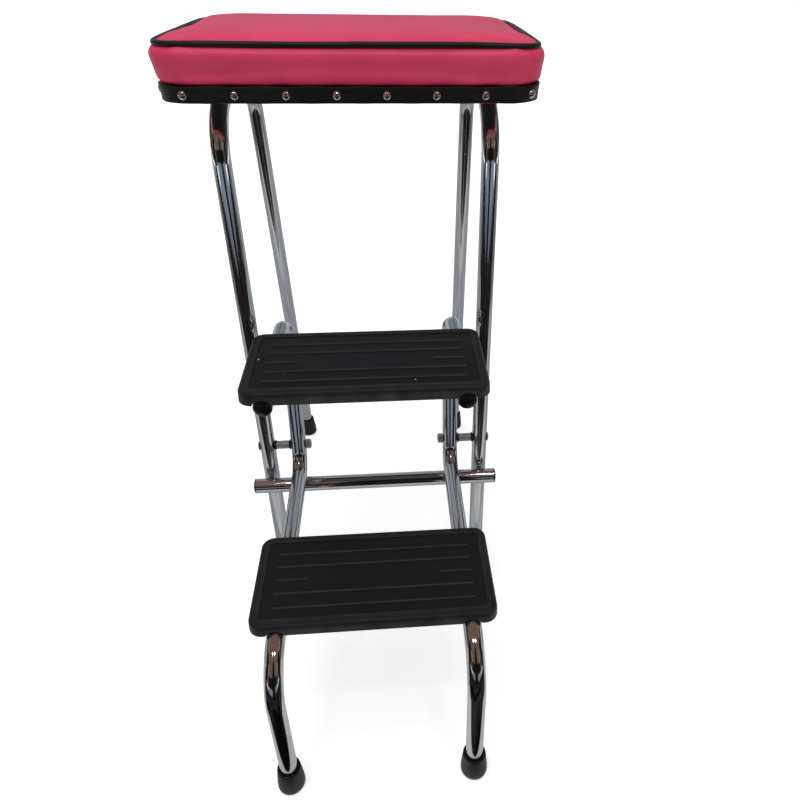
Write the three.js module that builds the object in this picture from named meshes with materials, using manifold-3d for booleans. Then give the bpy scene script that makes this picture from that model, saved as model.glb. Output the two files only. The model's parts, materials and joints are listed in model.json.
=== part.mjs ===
// A tall folding step stool with an upholstered seat.
// Two inverted U side frames of chromed tube carry a padded seat. A step unit of two S-bent tubes
// and two moulded treads hangs on a bolt through each front leg. It rests on a bar that crosses in
// front of the front legs, and swings over through nearly half a turn to stow between the legs.
// Millimetres, +Z up, the front of the stool faces -Y, and the floor is z = 0.

import * as THREE from 'three';
import { mergeVertices } from 'three/addons/utils/BufferGeometryUtils.js';
import Module from 'manifold-3d';

const wasm = await Module();
wasm.setup();

// Driving dimensions, in millimetres. A value that ends in Share has no unit.

// Fits and counts of facets
const contactGap = 0.3;
const shaftClearance = 0.35;
const cutOverrun = 3;
const mergeTolerance = 0.0001;
const tubeSides = 16;
const boreSides = 12;
const bendSteps = 5;
const turnedSides = 16;
const smallSides = 12;
const holeSides = 8;
const cornerSteps = 5;
const studSides = 8;
const weltSides = 6;
const weltRings = 56;
const cushionColumns = 14;
const cushionRows = 12;

// Tube stock, shared by the frames, the step unit and the bar
const tubeDiameter = 19.05;
const tubeWall = 1.2;

// Side frames
const frameHalfSpacing = 137.7;
const seatUndersideHeight = 637.5;
const backFootDistance = 342.2;
const legLeanShare = 0.098;
const frameBendRadius = 60;

// Step unit
const stepFootDistance = 291;
const stepHalfSpacing = 98;
const kneeHalfSpacing = 98.5;
const stepFootHalfSpacing = 102.3;
const stepTopHalfSpacing = 100.5;
const stepEndHalfSpacing = 101.5;
const uprightLeanShare = 0.336;
const kneeLeanShare = 0.01;
const stepTopBendRadius = 28;
const stepBendRadius = 32;
const kneeBendRadius = 50;
const pivotHeight = 231;

// Treads
const treadWidth = 251;
const treadDepth = 120;
const treadCornerRadius = 14;
const treadSkirt = 14;
const treadWall = 4;
const treadCoverThickness = 6;
const treadPlateThickness = 2;
const treadEdgeRound = 2.5;
const treadBorder = 11;
const treadFieldDepth = 0.8;
const upperTreadHeight = 407.5;
const lowerTreadHeight = 219.5;
const upperTreadSetForward = 36;
const lowerTreadSetForward = 147.7;
const ribWidth = 2.6;
const ribHeight = 1.1;
const ribPitch = 17.4;
const ribLength = 207;
const shortRibLength = 33.5;
const ribSetForward = 2;
const notchClearance = 1;

// Stop bar
const barHalfLength = 155.5;
const barCapFlange = 2.4;
const barCapShank = 12;

// Rubber feet
const footHeight = 34;
const footBaseRadius = 15;
const footTopRadius = 12.7;
const footFloor = 4.5;
const footLip = 1.6;
const footHeelHeight = 6;

// Step tube end caps
const endCapRadius = 9.6;
const endCapDome = 5.6;
const endCapShank = 12;
const plugWall = 1.6;

// Pivot bolts and what is on them
const boltRadius = 3;
const boltHeadRadius = 6.2;
const boltHeadHeight = 2.2;
const nutRadius = 6.4;
const nutThickness = 5;
const nutDome = 1.4;
const spacerRadius = 5.3;
const washerRadius = 6.6;
const washerThickness = 1.4;

// Rivets on the inner side of the legs and of the step tubes
const rivetHeadRadius = 3.4;
const rivetHeadHeight = 1.9;
const rivetShankRadius = 1.9;
const rivetShankLength = 4.5;
const legRivetHeight = 410;

// Screws
const screwRadius = 2;
const screwHeadRadius = 4.2;
const screwHeadHeight = 2.6;
const seatScrewBite = 10;
const seatScrewInset = 22;
const treadScrewInset = 26;

// Seat
const seatFrontOverhang = 33.8;
const seatDepth = 248;
const bandHalfWidth = 181.8;
const bandHeight = 14;
const bandThickness = 2.2;
const seatCornerRadius = 30;
const boardThickness = 13.5;
const cushionOverhang = 4.2;
const crownHeight = 5.5;
const sideBow = 1.5;
const backSag = 4;
const cornerDrop = 2;
const wallHeightShares = [0.13, 0.45, 0.76];
const wallInsets = [4.8, 2.2, 0];
const pipingRadius = 2.75;
const pipingHeight = 34.5;
const pipingInset = 9;
const studRadius = 4.7;
const studHeight = 2.9;
const studSpacing = 46.7;
const studOffset = 32;

// Sizes that follow from the ones above
const tubeRadius = tubeDiameter / 2;
const tubeBore = tubeRadius - tubeWall;
const frontLegFloorY = (stepFootDistance - backFootDistance) / 2;
const legSlant = Math.hypot(1, legLeanShare);
const frontLegY = (z) => frontLegFloorY + legLeanShare * z;
const backLegY = (z) => frontLegFloorY + backFootDistance - legLeanShare * z;
const frameTopHeight = seatUndersideHeight - contactGap - tubeRadius;
const treadStack = treadCoverThickness + contactGap + treadPlateThickness + contactGap;
const upperRunHeight = upperTreadHeight - treadStack - tubeRadius;
const lowerRunHeight = lowerTreadHeight - treadStack - tubeRadius;
const tubeEndHeight = footFloor + contactGap + tubeRadius * legLeanShare;
const upperTreadBackY = frontLegY(upperTreadHeight) - upperTreadSetForward;
const lowerTreadBackY = frontLegY(pivotHeight) - lowerTreadSetForward;
const pivotY = frontLegY(pivotHeight);
const uprightY = (z) => pivotY + uprightLeanShare * (z - pivotHeight);
const stepFootY = frontLegFloorY - stepFootDistance;
const seatFrontY = frontLegY(seatUndersideHeight) - seatFrontOverhang;
const seatMiddleY = seatFrontY + seatDepth / 2;

// Materials
function finish(color, roughness, metalness) {
  return new THREE.MeshStandardMaterial({ color, roughness, metalness });
}

const chrome = finish(0xc9ccd0, 0.08, 1);
const zinc = finish(0xa9abad, 0.35, 1);
const blackRubber = finish(0x17171a, 0.6, 0);
const blackPlastic = finish(0x101012, 0.3, 0);
const blackVinyl = finish(0x141416, 0.45, 0);
const pinkVinyl = finish(0xd23a66, 0.45, 0);
const plywood = finish(0x161616, 0.7, 0);
const steelSheet = finish(0x8c8e91, 0.4, 1);

const stool = new THREE.Group();

function place(name, geometry, material, x = 0, y = 0, z = 0) {
  const mesh = new THREE.Mesh(geometry, material);
  mesh.name = name;
  mesh.position.set(x, y, z);
  stool.add(mesh);
  return mesh;
}

// Solids

function closed(geometry) {
  const bare = geometry.clone();
  bare.deleteAttribute('normal');
  bare.deleteAttribute('uv');
  return mergeVertices(bare, mergeTolerance);
}

function toSolid(geometry) {
  const merged = closed(geometry);
  return new wasm.Manifold(new wasm.Mesh({
    numProp: 3,
    vertProperties: new Float32Array(merged.attributes.position.array),
    triVerts: new Uint32Array(merged.index.array),
  }));
}

function toGeometry(solid) {
  const mesh = solid.getMesh();
  const geometry = new THREE.BufferGeometry();
  geometry.setAttribute('position', new THREE.BufferAttribute(mesh.vertProperties, 3));
  geometry.setIndex(new THREE.BufferAttribute(mesh.triVerts, 1));
  return geometry;
}

// A straight round pin along an axis, from one value of that axis to another.
function pin(axis, radius, from, to, at, sides = holeSides) {
  const geometry = new THREE.CylinderGeometry(radius, radius, Math.abs(to - from), sides);
  if (axis === 'x') geometry.rotateZ(Math.PI / 2);
  if (axis === 'z') geometry.rotateX(Math.PI / 2);
  const middle = at.clone();
  middle[axis] = (from + to) / 2;
  return geometry.translate(middle.x, middle.y, middle.z);
}

// A straight round pin from a point, along a direction.
function aimedPin(radius, length, at, direction) {
  const geometry = new THREE.CylinderGeometry(radius, radius, length, holeSides);
  geometry.translate(0, length / 2, 0);
  const aim = new THREE.Quaternion().setFromUnitVectors(new THREE.Vector3(0, 1, 0), direction);
  return geometry.applyQuaternion(aim).translate(at.x, at.y, at.z);
}

// A turned piece: its profile is a list of [radius, height], and its axis becomes +Z.
function turned(profile, sides = turnedSides) {
  const points = profile.map(([r, h]) => new THREE.Vector2(r, h));
  return new THREE.LatheGeometry(points, sides).rotateX(Math.PI / 2);
}

// The points of a dome's profile, from its rim to its top on the axis.
function domeProfile(radius, height, base, steps = 3) {
  const points = [];
  for (let i = 0; i <= steps; i += 1) {
    const angle = (i / steps) * (Math.PI / 2);
    points.push([i === steps ? 0 : radius * Math.cos(angle), base + height * Math.sin(angle)]);
  }
  return points;
}

function roundedRectangle(halfWidth, halfDepth, radius, steps = cornerSteps) {
  const points = [];
  const corners = [[1, 1], [-1, 1], [-1, -1], [1, -1]];
  corners.forEach(([sx, sy], corner) => {
    for (let i = 0; i <= steps; i += 1) {
      const angle = (corner + i / steps) * (Math.PI / 2);
      points.push(new THREE.Vector2(
        sx * (halfWidth - radius) + radius * Math.cos(angle),
        sy * (halfDepth - radius) + radius * Math.sin(angle),
      ));
    }
  });
  return points;
}

// Bent tube

// A path of straight runs and round bends. It has one station at each end of a run and bendSteps
// stations round each bend, so that rings are spent only where the tube turns.
class BentPath extends THREE.Curve {
  constructor(corners, radii) {
    super();
    this.stations = [];
    const last = corners.length - 1;
    corners.forEach((corner, i) => {
      if (i === 0 || i === last) {
        const [from, to] = i === 0 ? [corner, corners[1]] : [corners[last - 1], corner];
        this.stations.push({ point: corner.clone(), tangent: to.clone().sub(from).normalize() });
        return;
      }
      this.addBend(corners[i - 1], corner, corners[i + 1], radii[i - 1]);
    });
  }

  addBend(before, corner, after, radius) {
    const arriving = corner.clone().sub(before).normalize();
    const leaving = after.clone().sub(corner).normalize();
    const turn = arriving.angleTo(leaving);
    const start = corner.clone().addScaledVector(arriving, -radius * Math.tan(turn / 2));
    const inward = leaving.clone().addScaledVector(arriving, -leaving.dot(arriving)).normalize();
    for (let i = 0; i <= bendSteps; i += 1) {
      const angle = (turn * i) / bendSteps;
      const point = start.clone()
        .addScaledVector(arriving, radius * Math.sin(angle))
        .addScaledVector(inward, radius * (1 - Math.cos(angle)));
      const tangent = arriving.clone()
        .multiplyScalar(Math.cos(angle))
        .addScaledVector(inward, Math.sin(angle));
      this.stations.push({ point, tangent });
    }
  }

  get steps() {
    return this.stations.length - 1;
  }

  station(t) {
    return this.stations[Math.round(t * this.steps)];
  }

  getPoint(t, target = new THREE.Vector3()) {
    return target.copy(this.station(t).point);
  }

  getPointAt(t, target) {
    return this.getPoint(t, target);
  }

  getTangent(t, target = new THREE.Vector3()) {
    return target.copy(this.station(t).tangent);
  }

  getTangentAt(t, target) {
    return this.getTangent(t, target);
  }
}

function ring(radius, sides) {
  const points = [];
  for (let i = 0; i < sides; i += 1) {
    const angle = (i / sides) * Math.PI * 2;
    points.push(new THREE.Vector2(radius * Math.cos(angle), radius * Math.sin(angle)));
  }
  return points;
}

function bentTube(corners, radii) {
  const path = new BentPath(corners, radii);
  const section = new THREE.Shape(ring(tubeRadius, tubeSides));
  section.holes.push(new THREE.Path(ring(tubeBore, boreSides)));
  return new THREE.ExtrudeGeometry(section, { steps: path.steps, extrudePath: path, bevelEnabled: false });
}

function drilled(geometry, holes) {
  let solid = toSolid(geometry);
  holes.forEach((hole) => {
    solid = solid.subtract(toSolid(hole));
  });
  return toGeometry(solid);
}

const sides = [['left', -1], ['right', 1]];
const boltHole = boltRadius + shaftClearance;
const screwHole = screwRadius + shaftClearance;
const rivetHole = rivetShankRadius + shaftClearance;
const frameX = (side) => side * frameHalfSpacing;

// Side frames: the front leg, the run under the seat and the back leg are one bent tube.

const seatScrewYs = [
  frontLegY(frameTopHeight) + frameBendRadius + seatScrewInset,
  backLegY(frameTopHeight) - frameBendRadius - seatScrewInset,
];

// The leg rivet faces half inwards and half forwards, square to the leg.
function legRivetFacing(side) {
  const inward = new THREE.Vector3(-side, 0, 0);
  const forward = new THREE.Vector3(0, -1, legLeanShare).normalize();
  return inward.add(forward).normalize();
}

function sideFrame(side) {
  const corners = [
    new THREE.Vector3(0, frontLegY(tubeEndHeight), tubeEndHeight),
    new THREE.Vector3(0, frontLegY(frameTopHeight), frameTopHeight),
    new THREE.Vector3(0, backLegY(frameTopHeight), frameTopHeight),
    new THREE.Vector3(0, backLegY(tubeEndHeight), tubeEndHeight),
  ];
  const tube = bentTube(corners, [frameBendRadius, frameBendRadius]);
  const reach = tubeRadius + cutOverrun;
  const boltAt = new THREE.Vector3(0, pivotY, pivotHeight);
  const rivetAt = new THREE.Vector3(0, frontLegY(legRivetHeight), legRivetHeight);
  const holes = [
    pin('x', boltHole, -reach, reach, boltAt),
    aimedPin(rivetHole, reach, rivetAt, legRivetFacing(side)),
  ];
  seatScrewYs.forEach((y) => {
    const at = new THREE.Vector3(0, y, frameTopHeight);
    holes.push(pin('z', screwHole, frameTopHeight - reach, frameTopHeight + reach, at));
  });
  return drilled(tube, holes);
}

sides.forEach(([name, side]) => {
  place(`side_frame_${name}`, sideFrame(side), chrome, frameX(side));
});

// Step tubes: the run under the upper tread, the upright that the pivot bolt passes through, the
// run under the lower tread, and the leg down to the step unit's own foot.

const upperTreadFrontY = upperTreadBackY - treadDepth;
const lowerTreadFrontY = lowerTreadBackY - treadDepth;
const upperRunEndY = upperTreadFrontY + treadWall + contactGap;
const treadScrewYs = (backY) => [backY - treadScrewInset, backY - treadDepth + treadScrewInset];
const stepXAt = (y, from, to) => from.x + ((y - from.y) / (to.y - from.y)) * (to.x - from.x);

function stepCorners(side) {
  const kneeY = stepFootY + kneeLeanShare * lowerRunHeight;
  const footY = stepFootY + kneeLeanShare * tubeEndHeight;
  return [
    new THREE.Vector3(side * stepEndHalfSpacing, upperRunEndY, upperRunHeight),
    new THREE.Vector3(side * stepTopHalfSpacing, uprightY(upperRunHeight), upperRunHeight),
    new THREE.Vector3(side * stepHalfSpacing, uprightY(lowerRunHeight), lowerRunHeight),
    new THREE.Vector3(side * kneeHalfSpacing, kneeY, lowerRunHeight),
    new THREE.Vector3(side * stepFootHalfSpacing, footY, tubeEndHeight),
  ];
}

const stepBendRadii = [stepTopBendRadius, stepBendRadius, kneeBendRadius];

function pivotXOnStep(side) {
  const [, top, bottom] = stepCorners(side);
  const share = (pivotHeight - bottom.z) / (top.z - bottom.z);
  return bottom.x + share * (top.x - bottom.x);
}

function treadScrewPoints(side) {
  const [end, top, bottom, knee] = stepCorners(side);
  const along = (from, to, height) => (y) => new THREE.Vector3(stepXAt(y, from, to), y, height);
  return {
    upper: treadScrewYs(upperTreadBackY).map(along(end, top, upperRunHeight)),
    lower: treadScrewYs(lowerTreadBackY).map(along(bottom, knee, lowerRunHeight)),
  };
}

// The step rivet sits near the start of the upper bend.
function stepRivetPoint(side) {
  const path = new BentPath(stepCorners(side), stepBendRadii);
  return path.stations[1 + Math.round(bendSteps / 5)].point;
}

function stepTube(side) {
  const tube = bentTube(stepCorners(side), stepBendRadii);
  const reach = tubeRadius + cutOverrun;
  const x = pivotXOnStep(side);
  const boltAt = new THREE.Vector3(x, pivotY, pivotHeight);
  const points = treadScrewPoints(side);
  const rivetAt = stepRivetPoint(side);
  const holes = [
    pin('x', boltHole, x - reach, x + reach, boltAt),
    pin('x', rivetHole, rivetAt.x, rivetAt.x - side * reach, rivetAt),
  ];
  [...points.upper, ...points.lower].forEach((at) => {
    holes.push(pin('z', screwHole, at.z - reach, at.z + reach, at));
  });
  return drilled(tube, holes);
}

sides.forEach(([name, side]) => {
  place(`step_tube_${name}`, stepTube(side), chrome);
});

// Stop bar: it lies against the front of the front legs, and the step tubes' lower bends rest on it.
// So its middle is on a line that runs in front of the legs, one tube away from the outside of the
// bend.

const barOffset = tubeDiameter + contactGap;
const barReach = stepBendRadius + barOffset;
const barLineY = frontLegFloorY - barOffset * legSlant;
const bendTurn = Math.PI / 2 - Math.atan(uprightLeanShare);
const bendMiddleY = uprightY(lowerRunHeight) - stepBendRadius * Math.tan(bendTurn / 2);
const bendMiddleHeight = lowerRunHeight + stepBendRadius;
const lineFromBend = barLineY - bendMiddleY;
const barTerm = bendMiddleHeight - legLeanShare * lineFromBend;
const barRest = legSlant ** 2 * (lineFromBend ** 2 + bendMiddleHeight ** 2 - barReach ** 2);
const barHeight = (barTerm - Math.sqrt(barTerm ** 2 - barRest)) / legSlant ** 2;
const barY = barLineY + legLeanShare * barHeight;

function barTube() {
  const corners = [
    new THREE.Vector3(-barHalfLength, 0, 0),
    new THREE.Vector3(barHalfLength, 0, 0),
  ];
  return bentTube(corners, []);
}

place('stop_bar', closed(barTube()), chrome, 0, barY, barHeight);

// A push-in plug for a tube's open end: a hollow shank and a domed flange that points along +Z.
function tubePlug(flangeRadius, flangeHeight, shank) {
  const shankRadius = tubeBore - contactGap;
  return turned([
    [shankRadius - plugWall, 0],
    [shankRadius - plugWall, -shank],
    [shankRadius, -shank],
    [shankRadius, contactGap],
    [flangeRadius, contactGap],
    ...domeProfile(flangeRadius, flangeHeight, contactGap).slice(1),
    [0, 0],
    [shankRadius - plugWall, 0],
  ]);
}

sides.forEach(([name, side]) => {
  const cap = tubePlug(tubeRadius, barCapFlange, barCapShank).rotateY((side * Math.PI) / 2);
  place(`bar_cap_${name}`, closed(cap), blackPlastic, side * barHalfLength, barY, barHeight);
});

sides.forEach(([name, side]) => {
  const [end, top] = stepCorners(side);
  const outward = end.clone().sub(top).normalize();
  const aim = new THREE.Quaternion().setFromUnitVectors(new THREE.Vector3(0, 0, 1), outward);
  const cap = tubePlug(endCapRadius, endCapDome, endCapShank).applyQuaternion(aim);
  place(`step_end_cap_${name}`, closed(cap), blackPlastic, end.x, end.y, end.z);
});

// Rubber feet: cups pushed over the tube ends. Each one is sheared along its leg, so that its base
// stays flat on the floor while its bore follows the leg.

function foot(leanX, leanY) {
  const bore = tubeRadius + contactGap + shaftClearance;
  const cup = turned([
    [0, 0],
    [footBaseRadius, 0],
    [footBaseRadius, footHeelHeight],
    [footTopRadius, footHeight - footLip],
    [footTopRadius - footLip, footHeight],
    [bore, footHeight],
    [bore, footFloor],
    [0, footFloor],
  ]);
  const shear = new THREE.Matrix4().set(
    1, 0, leanX, 0,
    0, 1, leanY, 0,
    0, 0, 1, 0,
    0, 0, 0, 1,
  );
  return closed(cup.applyMatrix4(shear));
}

sides.forEach(([name, side]) => {
  const [, , , knee, end] = stepCorners(side);
  const stepLeanX = (end.x - knee.x) / (end.z - knee.z);
  const stepFootX = end.x - stepLeanX * end.z;
  place(`front_foot_${name}`, foot(0, legLeanShare), blackRubber, frameX(side), frontLegFloorY, 0);
  place(`back_foot_${name}`, foot(0, -legLeanShare), blackRubber, frameX(side), backLegY(0), 0);
  place(`step_foot_${name}`, foot(stepLeanX, kneeLeanShare), blackRubber, stepFootX, stepFootY, 0);
});

// Pivot bolts: a domed head outside the leg, a washer, a spacer and a washer between the leg and
// the step tube, and a domed nut on the inner side of the step tube.

sides.forEach(([name, side]) => {
  const legOutside = frameHalfSpacing + tubeRadius;
  const legInside = frameHalfSpacing - tubeRadius;
  const stepOutside = Math.abs(pivotXOnStep(side)) + tubeRadius;
  const stepInside = Math.abs(pivotXOnStep(side)) - tubeRadius;
  const nutFace = stepInside - contactGap;
  const turnOut = (geometry) => geometry.rotateY((side * Math.PI) / 2);
  const bolt = turned([
    [0, nutFace - nutThickness + contactGap],
    [boltRadius, nutFace - nutThickness + contactGap],
    [boltRadius, legOutside + contactGap],
    [boltHeadRadius, legOutside + contactGap],
    ...domeProfile(boltHeadRadius, boltHeadHeight, legOutside + contactGap).slice(1),
  ], smallSides);
  place(`pivot_bolt_${name}`, closed(turnOut(bolt)), zinc, 0, pivotY, pivotHeight);

  const nutBore = boltRadius + shaftClearance;
  const nut = turned([
    [nutBore, nutFace],
    [nutBore, nutFace - nutThickness],
    [0, nutFace - nutThickness],
    [0, nutFace - nutThickness - nutDome],
    [nutRadius - nutDome, nutFace - nutThickness - nutDome],
    [nutRadius, nutFace - nutThickness],
    [nutRadius, nutFace],
    [nutBore, nutFace],
  ], smallSides);
  place(`pivot_nut_${name}`, closed(turnOut(nut)), zinc, 0, pivotY, pivotHeight);

  const sleeve = (radius, from, to) => closed(turnOut(turned([
    [boltHole, from],
    [radius, from],
    [radius, to],
    [boltHole, to],
    [boltHole, from],
  ], smallSides)));
  const outerWasher = legInside - contactGap;
  const innerWasher = stepOutside + contactGap;
  const spacerFrom = innerWasher + washerThickness + contactGap;
  const spacerTo = outerWasher - washerThickness - contactGap;
  const washers = [
    ['outer', outerWasher - washerThickness, outerWasher],
    ['inner', innerWasher, innerWasher + washerThickness],
  ];
  washers.forEach(([where, from, to]) => {
    const washer = sleeve(washerRadius, from, to);
    place(`pivot_washer_${where}_${name}`, washer, blackPlastic, 0, pivotY, pivotHeight);
  });
  const spacer = sleeve(spacerRadius, spacerFrom, spacerTo);
  place(`pivot_spacer_${name}`, spacer, zinc, 0, pivotY, pivotHeight);
});

// Rivets with domed heads on the legs and on the inner walls of the step tubes.

function rivet(facing) {
  const head = turned([
    [0, -rivetShankLength],
    [rivetShankRadius, -rivetShankLength],
    [rivetShankRadius, contactGap],
    [rivetHeadRadius, contactGap],
    ...domeProfile(rivetHeadRadius, rivetHeadHeight, contactGap).slice(1),
  ], smallSides);
  const aim = new THREE.Quaternion().setFromUnitVectors(new THREE.Vector3(0, 0, 1), facing);
  return closed(head.applyQuaternion(aim));
}

sides.forEach(([name, side]) => {
  const facing = legRivetFacing(side);
  const onLeg = new THREE.Vector3(frameX(side), frontLegY(legRivetHeight), legRivetHeight);
  onLeg.addScaledVector(facing, tubeRadius);
  place(`leg_rivet_${name}`, rivet(facing), zinc, onLeg.x, onLeg.y, onLeg.z);
  const inward = new THREE.Vector3(-side, 0, 0);
  const onStep = stepRivetPoint(side).clone().addScaledVector(inward, tubeRadius);
  place(`step_rivet_${name}`, rivet(inward), zinc, onStep.x, onStep.y, onStep.z);
});

// Treads: a moulded rubber cover with a skirt, over a flat steel plate that lies on the step tubes.

function slab(points, height, round = 0) {
  const geometry = new THREE.ExtrudeGeometry(new THREE.Shape(points), {
    depth: height - 2 * round,
    bevelEnabled: round > 0,
    bevelSize: round,
    bevelThickness: round,
    bevelOffset: -round,
    bevelSegments: 2,
    curveSegments: cornerSteps,
  });
  return geometry.translate(0, 0, round);
}

// The rows of raised ribs: two long ones behind, a short pair in the middle row, two long in front.
// The set lies a little in front of the tread's middle.
function ribs() {
  const bars = [];
  const endX = ribLength / 2;
  const root = 2 * treadFieldDepth;
  [-2, -1, 1, 2].forEach((row) => bars.push([0, row * ribPitch, ribLength]));
  [-1, 1].forEach((end) => bars.push([end * (endX - shortRibLength / 2), 0, shortRibLength]));
  return bars.map(([x, y, length]) => {
    const outline = roundedRectangle(length / 2, ribWidth / 2, ribWidth / 2, 2);
    return slab(outline, treadFieldDepth + ribHeight).translate(x, y - ribSetForward, -root);
  });
}

// The cover's top face is z = 0 and its middle is x = y = 0. Each notch is where a tube crosses
// the front or the back skirt: the tube's x there, and -1 for the front skirt or 1 for the back.
function treadCover(notches) {
  const outer = roundedRectangle(treadWidth / 2, treadDepth / 2, treadCornerRadius);
  let solid = toSolid(slab(outer, treadSkirt, treadEdgeRound).translate(0, 0, -treadSkirt));
  const inner = roundedRectangle(
    treadWidth / 2 - treadWall,
    treadDepth / 2 - treadWall,
    treadCornerRadius - treadWall,
  );
  const pocketDepth = treadSkirt - treadCoverThickness;
  const pocket = slab(inner, pocketDepth + cutOverrun).translate(0, 0, -treadSkirt - cutOverrun);
  solid = solid.subtract(toSolid(pocket));
  const field = roundedRectangle(treadWidth / 2 - treadBorder, treadDepth / 2 - treadBorder, ribWidth);
  const recess = slab(field, treadFieldDepth + cutOverrun).translate(0, 0, -treadFieldDepth);
  solid = solid.subtract(toSolid(recess));
  ribs().forEach((bar) => {
    solid = solid.add(toSolid(bar));
  });
  const notchRadius = endCapRadius + notchClearance;
  notches.forEach(([x, end]) => {
    const inside = end * (treadDepth / 2 - treadWall - cutOverrun);
    const outside = end * (treadDepth / 2 + cutOverrun);
    const at = new THREE.Vector3(x, 0, -treadStack - tubeRadius);
    solid = solid.subtract(toSolid(pin('y', notchRadius, inside, outside, at, tubeSides)));
  });
  return toGeometry(solid);
}

function treadPlate(holes) {
  const inset = treadWall + contactGap;
  const outline = roundedRectangle(
    treadWidth / 2 - inset,
    treadDepth / 2 - inset,
    treadCornerRadius - inset,
  );
  const shape = new THREE.Shape(outline);
  holes.forEach(([x, y]) => {
    const rim = ring(screwHole, holeSides).map((point) => new THREE.Vector2(x + point.x, y + point.y));
    shape.holes.push(new THREE.Path(rim));
  });
  const plate = new THREE.ExtrudeGeometry(shape, { depth: treadPlateThickness, bevelEnabled: false });
  return closed(plate.translate(0, 0, -treadCoverThickness - contactGap - treadPlateThickness));
}

const treads = [
  ['upper', upperTreadHeight, upperTreadBackY],
  ['lower', lowerTreadHeight, lowerTreadBackY],
];

treads.forEach(([name, height, backY]) => {
  const middleY = backY - treadDepth / 2;
  const notches = [];
  const holes = [];
  sides.forEach(([, side]) => {
    const [end, top, bottom, knee] = stepCorners(side);
    const [from, to] = name === 'upper' ? [end, top] : [bottom, knee];
    [-1, 1].forEach((skirt) => {
      notches.push([stepXAt(middleY + (skirt * treadDepth) / 2, from, to), skirt]);
    });
    treadScrewPoints(side)[name].forEach((at) => holes.push([at.x, at.y - middleY]));
  });
  place(`${name}_tread_cover`, treadCover(notches), blackRubber, 0, middleY, height);
  place(`${name}_tread_plate`, treadPlate(holes), steelSheet, 0, middleY, height);
});

// Screws driven upwards through both walls of a tube, with the head below it.

function screw(bite) {
  const tip = tubeRadius + contactGap + bite;
  const seat = -tubeRadius - contactGap;
  return closed(turned([
    ...domeProfile(screwHeadRadius, -screwHeadHeight, seat, 2).reverse(),
    [screwRadius, seat],
    [screwRadius, tip],
    [0, tip],
  ], smallSides));
}

sides.forEach(([name, side]) => {
  const points = treadScrewPoints(side);
  ['upper', 'lower'].forEach((tread) => {
    points[tread].forEach((at, i) => {
      const where = i === 0 ? 'back' : 'front';
      const node = `${tread}_tread_screw_${where}_${name}`;
      place(node, screw(treadPlateThickness), zinc, at.x, at.y, at.z);
    });
  });
  seatScrewYs.forEach((y, i) => {
    const where = i === 0 ? 'front' : 'back';
    place(`seat_screw_${where}_${name}`, screw(seatScrewBite), zinc, frameX(side), y, frameTopHeight);
  });
});

// Seat board, with a blind hole over each seat screw

const boardHalfWidth = bandHalfWidth - bandThickness - contactGap;
const boardHalfDepth = seatDepth / 2 - bandThickness - contactGap;
const boardCornerRadius = seatCornerRadius - bandThickness - contactGap;

function seatBoard() {
  const outline = roundedRectangle(boardHalfWidth, boardHalfDepth, boardCornerRadius);
  let solid = toSolid(slab(outline, boardThickness));
  const depth = seatScrewBite + contactGap;
  sides.forEach(([, side]) => {
    seatScrewYs.forEach((y) => {
      const at = new THREE.Vector3(frameX(side), y - seatMiddleY, 0);
      solid = solid.subtract(toSolid(pin('z', screwHole, -cutOverrun, depth, at)));
    });
  });
  return toGeometry(solid);
}

place('seat_board', seatBoard(), plywood, 0, seatMiddleY, seatUndersideHeight);

// Seat band: a strip round the board's edge, with domed upholstery nails in it. The nails are set
// at one spacing along the outline, so their count follows the seat's size.

// The point at a distance along a rounded rectangle, and the way that it faces there. The distance
// runs from the middle of the front edge towards the right.
function alongOutline(halfWidth, halfDepth, radius, distance) {
  const straightX = 2 * (halfWidth - radius);
  const straightY = 2 * (halfDepth - radius);
  const arc = (Math.PI / 2) * radius;
  const around = 2 * (straightX + straightY) + 4 * arc;
  let rest = (((distance + straightX / 2) % around) + around) % around;
  const runs = [straightX, straightY, straightX, straightY];
  for (let i = 0; i < runs.length; i += 1) {
    const heading = (i * Math.PI) / 2;
    const facing = heading - Math.PI / 2;
    const half = i % 2 === 0 ? halfDepth : halfWidth;
    if (rest <= runs[i]) {
      const along = rest - runs[i] / 2;
      const x = Math.cos(heading) * along + Math.cos(facing) * half;
      const y = Math.sin(heading) * along + Math.sin(facing) * half;
      return { x, y, facing, around };
    }
    rest -= runs[i];
    if (rest <= arc) {
      const turned = facing + rest / radius;
      const cornerX = Math.cos(heading) * (runs[i] / 2) + Math.cos(facing) * (half - radius);
      const cornerY = Math.sin(heading) * (runs[i] / 2) + Math.sin(facing) * (half - radius);
      const x = cornerX + radius * Math.cos(turned);
      const y = cornerY + radius * Math.sin(turned);
      return { x, y, facing: turned, around };
    }
    rest -= arc;
  }
  return { x: 0, y: -halfDepth, facing: -Math.PI / 2, around };
}

function seatBand() {
  const outer = roundedRectangle(bandHalfWidth, seatDepth / 2, seatCornerRadius);
  const inner = roundedRectangle(
    bandHalfWidth - bandThickness,
    seatDepth / 2 - bandThickness,
    seatCornerRadius - bandThickness,
  );
  const shape = new THREE.Shape(outer);
  shape.holes.push(new THREE.Path(inner));
  let solid = toSolid(new THREE.ExtrudeGeometry(shape, { depth: bandHeight, bevelEnabled: false }));
  const { around } = alongOutline(bandHalfWidth, seatDepth / 2, seatCornerRadius, 0);
  const count = Math.round(around / studSpacing);
  const root = -bandThickness / 2;
  for (let i = 0; i < count; i += 1) {
    const distance = studOffset + (i * around) / count;
    const { x, y, facing } = alongOutline(bandHalfWidth, seatDepth / 2, seatCornerRadius, distance);
    const stud = turned([
      [0, root],
      [studRadius, root],
      [studRadius, 0],
      ...domeProfile(studRadius, studHeight, 0, 2).slice(1),
    ], studSides);
    stud.rotateY(Math.PI / 2).rotateZ(facing).translate(x, y, bandHeight / 2);
    solid = solid.add(toSolid(stud));
  }
  return toGeometry(solid);
}

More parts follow.
